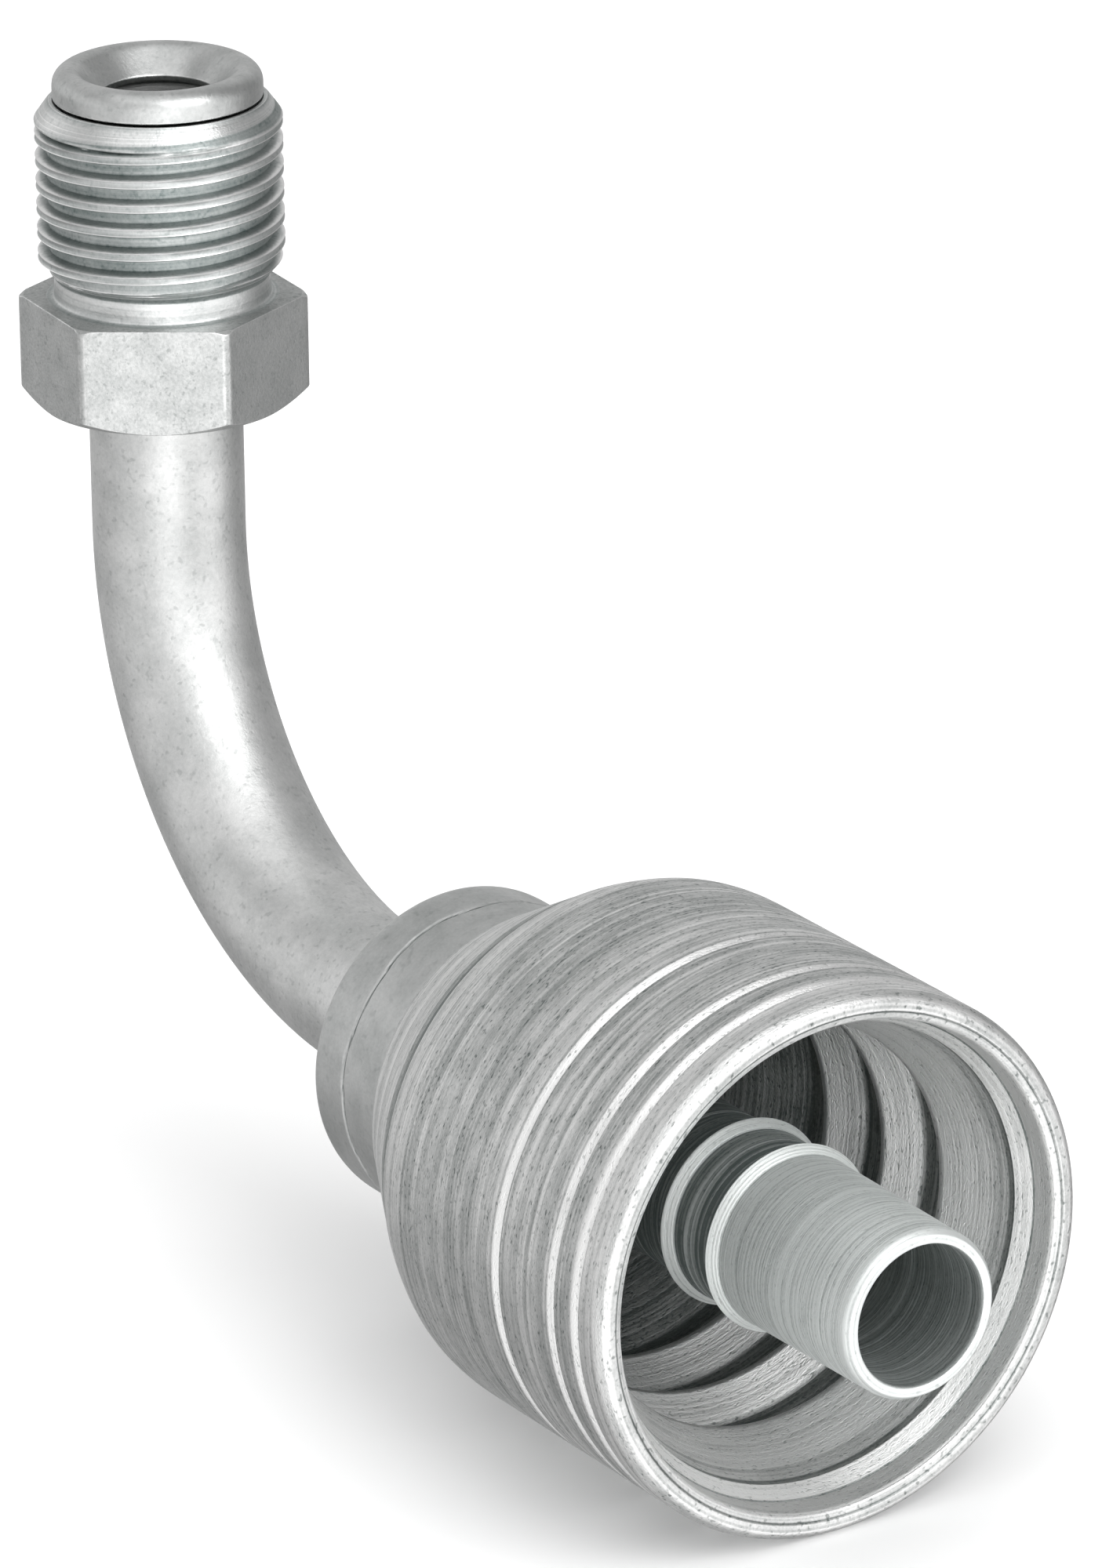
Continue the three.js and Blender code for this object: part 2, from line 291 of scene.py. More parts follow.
def bending_tree() -> GeometryTree:
    """Bends a straight tube on the Y axis upwards round a former, and lets its far end run on straight."""
    tree = GeometryTree("bend_tube")
    start, radius, most = (tree.input(name) for name in ("Bend start", "Bend radius", "Bend angle"))
    x, y, z = tree.parts(tree.add("GeometryNodeInputPosition"))
    along = tree.minus(y, start)
    angle = tree.math("MINIMUM", tree.math("MAXIMUM", tree.over(along, radius), 0.0), most)
    beyond = tree.minus(along, tree.times(angle, radius))
    reach = tree.minus(radius, z)
    sine, cosine = tree.math("SINE", angle), tree.math("COSINE", angle)
    forward = tree.fused(reach, sine, tree.times(beyond, cosine))
    dropped = tree.times(reach, cosine)
    upward = tree.minus(tree.fused(beyond, sine, radius), dropped)
    tree.close(tree.moved(tree.geometry, tree.combine(x, tree.plus(forward, start), upward)))
    return tree


def seam_tree() -> GeometryTree:
    """Sinks a wandering seam round a collar that is turned about Y."""
    tree = GeometryTree("sink_seam")
    place, width, depth, wander = (tree.input(n) for n in ("Place", "Width", "Depth", "Wander"))
    seed = tree.input("Seed")
    position = tree.add("GeometryNodeInputPosition")
    x, y, z = tree.parts(position)
    radius = tree.math("SQRT", tree.plus(tree.times(x, x), tree.times(z, z)))
    ring = tree.combine(tree.over(x, radius), 0.0, tree.over(z, radius))
    noise = tree.add("ShaderNodeTexNoise", ring, seed, SEAM_WAVES, NOISE_DETAIL, noise_dimensions="4D")
    drift = tree.times(tree.minus(noise, NOISE_MIDDLE), wander)
    off = tree.over(tree.minus(tree.minus(y, place), drift), width)
    bell = tree.math("EXPONENT", tree.times(tree.times(off, off), -1.0))
    sunk = tree.minus(1.0, tree.over(tree.times(bell, depth), radius))
    moved = tree.combine(tree.times(x, sunk), y, tree.times(z, sunk))
    tree.close(tree.moved(tree.geometry, moved))
    return tree


def puddle_tree() -> GeometryTree:
    """Makes a turned ring lumpy, as filler metal freezes."""
    tree = GeometryTree("freeze_puddle")
    size, height, seed = (tree.input(name) for name in ("Lump size", "Height", "Seed"))
    position = tree.add("GeometryNodeInputPosition")
    scaled = tree.add("ShaderNodeVectorMath", position, operation="SCALE")
    tree.feed_named(scaled.node, {"Scale": tree.over(1.0, size)})
    noise = tree.add("ShaderNodeTexNoise", scaled, seed, 1.0, NOISE_DETAIL, noise_dimensions="4D")
    push = tree.times(tree.minus(noise, NOISE_MIDDLE), height)
    lift = tree.add("ShaderNodeVectorMath", tree.add("GeometryNodeInputNormal"), operation="SCALE")
    tree.feed_named(lift.node, {"Scale": push})
    moved = tree.add("ShaderNodeVectorMath", position, lift, operation="ADD")
    tree.close(tree.moved(tree.geometry, moved))
    return tree


def thread_tree(form: Sequence[tuple[float, float]]) -> GeometryTree:
    """Cuts a right-hand thread on a blank whose rows carry their place in the thread.

    A blank's point has pitch_row, its row in pitches from -1 to Turns + 1, and turn_share, its share of a
    turn. Rows below 0 and above Turns close the first and the last turn down to a level circle.

    Args:
        form: Points of half the thread form, from the root's middle at 0 to the crest's middle at 1.

    Returns:
        The tree.
    """
    tree = GeometryTree("cut_thread")
    start, turns, pitch, end = (tree.input(n) for n in ("Start", "Turns", "Pitch", "Thread end"))
    root, crest = tree.input("Root radius"), tree.input("Crest radius")
    foot, foot_slope = tree.input("Foot radius"), tree.input("Foot slope")
    top, top_radius, top_slope = (tree.input(n) for n in ("Top", "Top radius", "Top slope"))
    row, share, cut = (tree.attribute(name) for name in ("pitch_row", "turn_share", "thread_cut"))
    position = tree.add("GeometryNodeInputPosition")
    x, y, z = tree.parts(position)
    body = tree.math("MINIMUM", tree.math("MAXIMUM", row, 0.0), turns)
    below = tree.times(tree.math("MINIMUM", row, 0.0), share)
    above = tree.math("MAXIMUM", tree.minus(row, turns), 0.0)
    closing = tree.times(above, tree.minus(1.0, share))
    climb = tree.plus(tree.plus(body, share), tree.plus(below, closing))
    height = tree.fused(climb, pitch, start)
    phase = tree.math("FRACT", tree.plus(tree.minus(climb, share), LEAD_IN))
    folded = tree.minus(1.0, tree.math("ABSOLUTE", tree.fused(phase, 2.0, -1.0)))
    curve = tree.add("ShaderNodeFloatCurve", 1.0, folded)
    shape_curve(curve.node, form)
    depth = tree.minus(crest, root)
    past = tree.ramp(height, end, tree.fused(pitch, RUN_OUT, end))
    cut_radius = tree.fused(tree.math("MAXIMUM", curve, past), depth, root)
    low = tree.fused(tree.minus(height, start), foot_slope, foot)
    high = tree.fused(tree.minus(top, height), top_slope, top_radius)
    radius = tree.math("MINIMUM", cut_radius, tree.math("MINIMUM", low, high))
    angle = tree.math("ARCTAN2", y, x)
    moved = tree.combine(
        tree.times(radius, tree.math("COSINE", angle)),
        tree.times(radius, tree.math("SINE", angle)),
        height,
    )
    chosen = tree.math("GREATER_THAN", cut, HALF)
    placed = tree.add("GeometryNodeSetPosition", tree.geometry, chosen, moved)
    tree.close(tree.add("GeometryNodeMergeByDistance", placed, None, WELD))
    return tree


def shape_curve(node: Node, form: Sequence[tuple[float, float]]) -> None:
    """Gives a curve node its points, with straight runs between them."""
    curve = node.mapping.curves[0]
    while len(curve.points) < len(form):
        curve.points.new(*form[0])
    for point, place in zip(curve.points, form):
        point.location = place
        point.handle_type = "VECTOR"
    node.mapping.update()


# ---- Outlines and meshes ----


@dataclass(frozen=True)
class Corner:
    """A corner of a turned outline: radius, height along the axis, how far back its edge is broken, and the
    tone of the stretch that follows, which is partly the finish and partly painted shade and painted
    highlight."""

    radius: float | np.ndarray
    height: float | np.ndarray
    broken: float = 0.05
    finish_and_painted_light: float = Shine.SATIN

    def place(self, columns: tuple[int, ...]) -> np.ndarray:
        """Its radius and height at every column."""
        return np.stack([np.broadcast_to(v, columns) for v in (self.radius, self.height)], -1).astype(float)


@dataclass
class Outline:
    """A closed outline of corners, as rows of points for a lathe."""

    corners: Sequence[Corner]
    longest: float = LONGEST_ROW
    points: np.ndarray = field(init=False)
    finish_and_painted_light: np.ndarray = field(init=False)
    run: np.ndarray = field(init=False)
    first_rows: list[int] = field(init=False, default_factory=list)

    def __post_init__(self) -> None:
        """Works out the rows, with broken edges and guard rows beside them."""
        columns = np.broadcast_shapes(*(np.shape(v) for c in self.corners for v in (c.radius, c.height)))
        places = [corner.place(columns) for corner in self.corners]
        rows, finish_and_painted_light = [], []
        for i, corner in enumerate(self.corners):
            after = (i + 1) % len(places)
            enter = self._back_off(places[i], places[i - 1], corner.broken)
            leave = self._back_off(places[i], places[after], corner.broken)
            end = self._back_off(places[after], places[i], self.corners[after].broken)
            edge, flat = self._broken_edge(enter, places[i], leave), self._straight(leave, end)
            half = len(edge) // 2
            self.first_rows.append(len(rows))
            rows += edge + flat
            finish_and_painted_light += [self.corners[i - 1].finish_and_painted_light] * half + [corner.finish_and_painted_light] * (len(edge) - half + len(flat))
        self.points = np.array(rows)
        self.finish_and_painted_light = np.array(finish_and_painted_light, float)
        flat = self.points.reshape(len(rows), -1, 2)[:, 0]
        steps = np.linalg.norm(np.diff(flat, axis=0), axis=1)
        self.run = np.concatenate([[0.0], np.cumsum(steps)])

    @staticmethod
    def _broken_edge(enter: np.ndarray, corner: np.ndarray, leave: np.ndarray) -> list[np.ndarray]:
        """The rows round one corner."""
        shares = np.linspace(0.0, 1.0, FILLET_STEPS + 1)
        return [(1 - t) ** 2 * enter + 2 * t * (1 - t) * corner + t**2 * leave for t in shares]

    def _straight(self, start: np.ndarray, end: np.ndarray) -> list[np.ndarray]:
        """The rows along a straight stretch."""
        length = float(np.max(np.linalg.norm(end - start, axis=-1)))
        return [start + (end - start) * share for share in self._shares(length)]

    @staticmethod
    def _back_off(corner: np.ndarray, other: np.ndarray, distance: float) -> np.ndarray:
        """The point that far from a corner towards another, at most near the middle."""
        length = np.linalg.norm(other - corner, axis=-1, keepdims=True)
        return corner + (other - corner) * np.minimum(distance / np.maximum(length, TINY), MOST_BACK)

    def _shares(self, length: float) -> list[float]:
        """Where the rows stand along a straight stretch."""
        if length < 3 * GUARD:
            return []
        inner = max(1, math.ceil((length - 2 * GUARD) / self.longest))
        guard = GUARD / length
        return [guard + (1 - 2 * guard) * i / inner for i in range(inner + 1)]


def new_piece(
    name: str,
    points: np.ndarray,
    faces: Sequence[Sequence[int]] = (),
    edges: Iterable[tuple[int, int]] = (),
) -> Piece:
    """A piece at the origin from points in metres.

    Args:
        name: The piece's name.
        points: Its points.
        faces: The points of each face.
        edges: The points of each loose edge.

    Returns:
        The piece, linked to the scene.
    """
    mesh = bpy.data.meshes.new(name)
    mesh.from_pydata([tuple(p) for p in points], list(edges), list(faces))
    piece = bpy.data.objects.new(name, mesh)
    bpy.context.scene.collection.objects.link(piece)
    return piece


def keep_numbers(mesh: Mesh, name: str, values: np.ndarray) -> None:
    """Keeps one number a point under a name."""
    layer = mesh.attributes.get(name) or mesh.attributes.new(name, "FLOAT", "POINT")
    layer.data.foreach_set("value", np.asarray(values, np.float32).ravel())


def turned_piece(name: str, outline: Outline, sides: int, axis: Axis, finish: Material) -> Piece:
    """Turns an outline into a piece.

    Args:
        name: The piece's name.
        outline: Its closed outline.
        sides: How many facets go round.
        axis: Which way its axis points.
        finish: Its material.

    Returns:
        The piece, with run and its tone, finish and painted light together, kept on its points.
    """
    closed = np.vstack([outline.points, outline.points[:1]]) * MM
    points = np.column_stack([closed[:, 0], np.zeros(len(closed)), closed[:, 1]])
    edges = [(i, i + 1) for i in range(len(points) - 1)]
    piece = new_piece(name, points, edges=edges)
    keep_numbers(piece.data, "run", np.append(outline.run, outline.run[-1]))
    keep_numbers(piece.data, "finish_and_painted_light", np.append(outline.finish_and_painted_light, outline.finish_and_painted_light[-1]))
    TREES["turn"].apply(piece, {"Sides": sides, "Axis turn": axis.value, "Finish": finish})
    return piece


def close_up(mesh: Mesh) -> int:
    """Welds a mesh, drops collapsed faces and turns every face outwards.

    Args:
        mesh: The mesh to mend.

    Returns:
        How many edges don't join exactly two faces.
    """
    work = bmesh.new()
    work.from_mesh(mesh)
    bmesh.ops.remove_doubles(work, verts=work.verts, dist=WELD)
    bmesh.ops.dissolve_degenerate(work, edges=work.edges, dist=WELD / 2)
    loose = [v for v in work.verts if not v.link_faces]
    bmesh.ops.delete(work, geom=loose, context="VERTS")
    bmesh.ops.recalc_face_normals(work, faces=work.faces)
    if work.calc_volume(signed=True) < 0:
        bmesh.ops.reverse_faces(work, faces=work.faces)
    open_edges = sum(len(e.link_faces) != 2 for e in work.edges)
    work.to_mesh(mesh)
    work.free()
    return open_edges


def mark_edges(mesh: Mesh) -> None:
    """Keeps on each point how sharply the surface turns: edge where it stands out, and where it sinks the
    mask that the finish darkens with painted shade.
    """
    faces = len(mesh.polygons)
    normals, centres = np.zeros(faces * 3), np.zeros(faces * 3)
    mesh.polygons.foreach_get("normal", normals)
    mesh.polygons.foreach_get("center", centres)
    normals, centres = normals.reshape(-1, 3), centres.reshape(-1, 3)
    loop_edge = np.zeros(len(mesh.loops), int)
    mesh.loops.foreach_get("edge_index", loop_edge)
    totals = np.zeros(faces, int)
    mesh.polygons.foreach_get("loop_total", totals)
    loop_face = np.repeat(np.arange(faces), totals)
    order = np.argsort(loop_edge, kind="stable")
    edge, face = loop_edge[order], loop_face[order]
    paired = np.flatnonzero(edge[1:] == edge[:-1])
    one, two, which = face[paired], face[paired + 1], edge[paired]
    angle = np.arccos(np.clip((normals[one] * normals[two]).sum(1), -1, 1))
    outward = ((centres[two] - centres[one]) * normals[one]).sum(1) < 0
    ends = np.zeros(len(mesh.edges) * 2, int)
    mesh.edges.foreach_get("vertices", ends)
    ends = ends.reshape(-1, 2)[which]
    for name, chosen in (("edge", outward), ("painted_crease_shade", ~outward)):
        most = np.zeros(len(mesh.vertices))
        share = np.clip((angle - WEAR_FROM) / (WEAR_FULL - WEAR_FROM), 0, 1) * chosen
        for side in (0, 1):
            np.maximum.at(most, ends[:, side], share)
        keep_numbers(mesh, name, most)


def finish_piece(piece: Piece, node: str, body: Body) -> None:
    """Mends and shades a piece and hands it to the frame.

    Args:
        piece: The piece.
        node: The CAD node that it stands for.
        body: The body that it rides on.
    """
    mesh = piece.data
    open_edges = close_up(mesh)
    mark_edges(mesh)
    mesh.polygons.foreach_set("use_smooth", [True] * len(mesh.polygons))
    mesh.set_sharp_from_angle(angle=CREASE)
    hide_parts(node)
    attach(piece, body.value)
    triangles = sum(len(p.vertices) - 2 for p in mesh.polygons)
    log.info("%s: %d triangles, %d open edges, on %s", piece.name, triangles, open_edges, body.value)


# ---- Finishes ----


def shader_group(
    name: str, inputs: dict[str, str], outputs: dict[str, str]
) -> tuple[NodeGraph, dict[str, Socket], Node]:
    """An empty shader node group with named sockets.

    Args:
        name: The group's name.
        inputs: Each input's name and socket type.
        outputs: Each output's name and socket type.

    Returns:
        The graph to build in, the input sockets by name, and the output node.
    """
    tree = bpy.data.node_groups.new(name, "ShaderNodeTree")
    for side, sockets in (("INPUT", inputs), ("OUTPUT", outputs)):
        for label, kind in sockets.items():
            tree.interface.new_socket(label, in_out=side, socket_type=kind)
    graph = NodeGraph(tree)
    entry = tree.nodes.new("NodeGroupInput")
    return graph, {label: entry.outputs[label] for label in inputs}, tree.nodes.new("NodeGroupOutput")


FLOAT, VECTOR = "NodeSocketFloat", "NodeSocketVector"
MIX_IN, MIX_OUT = (0, 6, 7), 2  # a colour Mix node's sockets: its factor and two colours, and its result


@dataclass(frozen=True)
class Streak:
    """Noise drawn out round an axis: how fast it changes that way, how far a seed moves it, its detail, and
    the values between which it shows."""

    drift: float
    offset: float
    detail: float
    low: float
    high: float


@dataclass(frozen=True)
class Cloud:
    """Noise of one size: how far a seed moves it, its detail, and the values between which it shows."""

    offset: float
    detail: float
    low: float
    high: float


BANDS = Streak(0.015, 7.3, 3.0, 0.34, 0.66)
LINES = Streak(0.03, 13.1, 1.5, 0.34, 0.66)
SCRATCHES = Streak(0.06, 3.7, 0.0, 0.58, 0.68)
SCRATCH_SHARE = 0.6  # scratches for each line
STREAK_ROUGHNESS = 0.62
BLOTCH = Cloud(1.7, 4.0, 0.34, 0.66)
GRAIN = Cloud(5.3, 2.0, 0.25, 0.75)
FLECKS = Cloud(9.1, 1.0, 0.57, 0.72)
CLOUD_ROUGHNESS = 0.6
RUBBED = (0.3, 0.62, 0.35, 1.0)  # noise from, to, and the wear left there
WORN = (0.05, 0.9)


def turning_marks_group() -> bpy.types.NodeTree:
    """Bands and fine lines that a tool leaves round a turned surface, from the run along its outline."""
    inputs = {"Round": VECTOR, "Run": FLOAT, "Bands per mm": FLOAT, "Lines per mm": FLOAT, "Seed": FLOAT}
    outputs = {"Bands": FLOAT, "Lines": FLOAT, "Scratches": FLOAT}
    graph, given, output = shader_group("turning_marks", inputs, outputs)
    x, _, z = graph.parts(given["Round"])

    def streaks(per_mm: Feed, streak: Streak) -> Socket:
        """One kind of streak, that many to a millimetre."""
        run = graph.times(given["Run"], per_mm)
        shifted = graph.plus(run, graph.times(given["Seed"], streak.offset))
        place = graph.combine(graph.times(x, streak.drift), graph.times(z, streak.drift), shifted)
        noise = graph.add("ShaderNodeTexNoise", place, None, 1.0, streak.detail, STREAK_ROUGHNESS)
        return graph.ramp(noise, streak.low, streak.high)

    graph.feed(output.inputs["Bands"], streaks(given["Bands per mm"], BANDS))
    graph.feed(output.inputs["Lines"], streaks(given["Lines per mm"], LINES))
    sparse = graph.times(given["Lines per mm"], SCRATCH_SHARE)
    graph.feed(output.inputs["Scratches"], streaks(sparse, SCRATCHES))
    return graph.tree


def mottle_group() -> bpy.types.NodeTree:
    """Soft blotches, a fine grain and dark flecks in the plating."""
    kinds = {"Blotch": BLOTCH, "Grain": GRAIN, "Flecks": FLECKS}
    inputs = {"Place": VECTOR, "Blotch size": FLOAT, "Grain size": FLOAT, "Fleck size": FLOAT, "Seed": FLOAT}
    graph, given, output = shader_group("plating_mottle", inputs, dict.fromkeys(kinds, FLOAT))
    for (name, kind), size in zip(kinds.items(), ("Blotch size", "Grain size", "Fleck size")):
        feeds = (given["Place"], graph.times(given["Seed"], kind.offset), graph.over(1.0, given[size]))
        noise = graph.add("ShaderNodeTexNoise", *feeds, kind.detail, CLOUD_ROUGHNESS, noise_dimensions="4D")
        graph.feed(output.inputs[name], graph.ramp(noise, kind.low, kind.high))
    return graph.tree


def edge_wear_group() -> bpy.types.NodeTree:
    """Bright rubbed edges, broken up along their length."""
    inputs = {"Edge": FLOAT, "Place": VECTOR, "Break size": FLOAT}
    graph, given, output = shader_group("edge_wear", inputs, {"Wear": FLOAT})
    scale = graph.over(1.0, given["Break size"])
    noise = graph.add("ShaderNodeTexNoise", given["Place"], None, scale, NOISE_DETAIL, CLOUD_ROUGHNESS)
    rubbed = graph.times(given["Edge"], graph.ramp(noise, *RUBBED))
    graph.feed(output.inputs["Wear"], graph.ramp(rubbed, *WORN))
    return graph.tree


@dataclass(frozen=True)
class Plating:
    """Zinc plating on steel, as one way of working the metal leaves it."""

    name: str
    dark: Colour = (0.2, 0.22, 0.215)
    light: Colour = (0.93, 0.93, 0.925)
    rough_dark: float = 0.5
    rough_light: float = 0.3
    bands: float = 0.3
    lines: float = 0.35
    scratches: float = 0.3
    blotch: float = 0.2
    grain: float = 0.12
    flecks: float = 0.35
    wear: float = 0.5
    # how strongly painted shade darkens the creases
    painted_crease_shade: float = 0.5
    bands_per_mm: float = 1.6
    lines_per_mm: float = 7.0
    blotch_size: float = 2.2
    grain_size: float = 0.16
    fleck_size: float = 0.3
    stretch: tuple[float, float, float] = (1.0, 1.0, 1.0)
    break_size: float = 0.9
    relief: float = 0.02
    grain_relief: float = 2.0
    seed: float = 1.0

    def material(self) -> Material:
        """Builds the finish as a material.

        Returns:
            The material, read from Object coordinates and the run, the tone with its painted light, the edge,
            and the crease mask for painted shade kept on the points.
        """
        made = bpy.data.materials.new(self.name)
        made.use_nodes = True
        made.node_tree.nodes.clear()
        graph = NodeGraph(made.node_tree)
        masks = self._masks(graph)
        tone = self._tone(graph, masks)
        shader = graph.add("ShaderNodeBsdfPrincipled")
        graph.feed_named(shader.node, {
            "Base Color": self._mix(graph, tone, self.dark, self.light),
            "Roughness": graph.ramp(tone, 0.0, 1.0, self.rough_dark, self.rough_light),
            "Normal": self._bump(graph, masks),
            "Metallic": 1.0,
        })
        output = graph.tree.nodes.new("ShaderNodeOutputMaterial")
        graph.tree.links.new(shader, output.inputs["Surface"])
        return made

    def _masks(self, graph: NodeGraph) -> dict[str, Socket]:
        """Places the shared groups.

        Args:
            graph: The material's nodes.

        Returns:
            Each group's outputs by name.
        """
        place = self._place(graph, (1 / MM,) * 3)
        stretched = self._place(graph, tuple(s / MM for s in self.stretch))
        marks = (place, self._kept(graph, "run"), self.bands_per_mm, self.lines_per_mm, self.seed)
        mottle = (stretched, self.blotch_size, self.grain_size, self.fleck_size, self.seed)
        wear = (self._kept(graph, "edge"), place, self.break_size)
        return {
            **self._group(graph, "turning_marks", *marks),
            **self._group(graph, "plating_mottle", *mottle),
            **self._group(graph, "edge_wear", *wear),
        }

    def _tone(self, graph: NodeGraph, masks: dict[str, Socket]) -> Socket:
        """How bright the plating's colour is at each place, with its painted shade and painted highlights.

        Args:
            graph: The material's nodes.
            masks: The shared groups' outputs.

        Returns:
            A number from 0 to 1.
        """
        # the outline's tone: the finish, with painted shade in recesses and painted highlights on faces
        # turned to the light
        tone = self._kept(graph, "finish_and_painted_light")
        either_way = {"Bands": self.bands, "Lines": self.lines, "Blotch": self.blotch, "Grain": self.grain}
        for name, strength in either_way.items():
            tone = graph.fused(graph.minus(masks[name], NOISE_MIDDLE), strength, tone)
        one_way = {"Scratches": self.scratches, "Flecks": -self.flecks, "Wear": self.wear}
        for name, strength in one_way.items():
            tone = graph.fused(masks[name], strength, tone)
        # painted shade: the colour darkens where the surface sinks into a crease
        return graph.math("MULTIPLY_ADD", self._kept(graph, "painted_crease_shade"), -self.painted_crease_shade, tone, clamp=True)

    def _bump(self, graph: NodeGraph, masks: dict[str, Socket]) -> Socket:
        """The relief of the marks, as a normal."""
        height = graph.times(masks["Lines"], self.lines)
        added = {"Bands": self.bands, "Grain": self.grain * self.grain_relief, "Flecks": -self.flecks}
        for name, strength in added.items():
            height = graph.fused(masks[name], strength, height)
        bump = graph.add("ShaderNodeBump")
        graph.feed_named(bump.node, {"Strength": 1.0, "Distance": self.relief * MM, "Height": height})
        return bump

    @staticmethod
    def _place(graph: NodeGraph, scale: Sequence[float]) -> Socket:
        """Object coordinates, scaled, on the piece itself."""
        out = graph.add("ShaderNodeMapping", graph.add("ShaderNodeTexCoord", out="Object"))
        out.node.inputs["Scale"].default_value = scale
        return out

    @staticmethod
    def _kept(graph: NodeGraph, name: str) -> Socket:
        """A number kept on the points."""
        return graph.add("ShaderNodeAttribute", out="Fac", attribute_name=name)

    @staticmethod
    def _group(graph: NodeGraph, name: str, *feeds: Feed) -> dict[str, Socket]:
        """Places a shared group, feeds it and gives its outputs by name."""
        node = graph.tree.nodes.new("ShaderNodeGroup")
        node.node_tree = bpy.data.node_groups[name]
        for socket, value in zip(node.inputs, feeds):
            graph.feed(socket, value)
        return {socket.name: socket for socket in node.outputs}

    @staticmethod
    def _mix(graph: NodeGraph, share: Socket, dark: Colour, light: Colour) -> Socket:
        """A colour between two others."""
        out = graph.add("ShaderNodeMix", out=MIX_OUT, data_type="RGBA")
        for index, value in zip(MIX_IN, (share, (*dark, 1.0), (*light, 1.0))):
            graph.feed(out.node.inputs[index], value)
        return out


# ---- Sub-assemblies ----

TREES: dict[str, GeometryTree] = {}
DRAWN_ROUND = (1.0, 3.0, 1.0)  # grain and flecks a third as long along the hose axis as round it


def in_metres(sizes: dict[str, float]) -> dict[str, float]:
    """Sizes in millimetres, as a tree's inputs want them."""
    return {name: size * MM for name, size in sizes.items()}


def dress(piece: Piece, finish: Plating, chosen: Callable[[Vector], bool]) -> None:
    """Gives part of a piece another finish.

    Args:
        piece: The piece.
        finish: The finish of that part.
        chosen: Whether a face belongs to it, from its centre in millimetres.
    """
    mesh = piece.data
    mesh.materials.append(finish.material())
    for face in mesh.polygons:
        if chosen(face.center / MM):
            face.material_index = len(mesh.materials) - 1


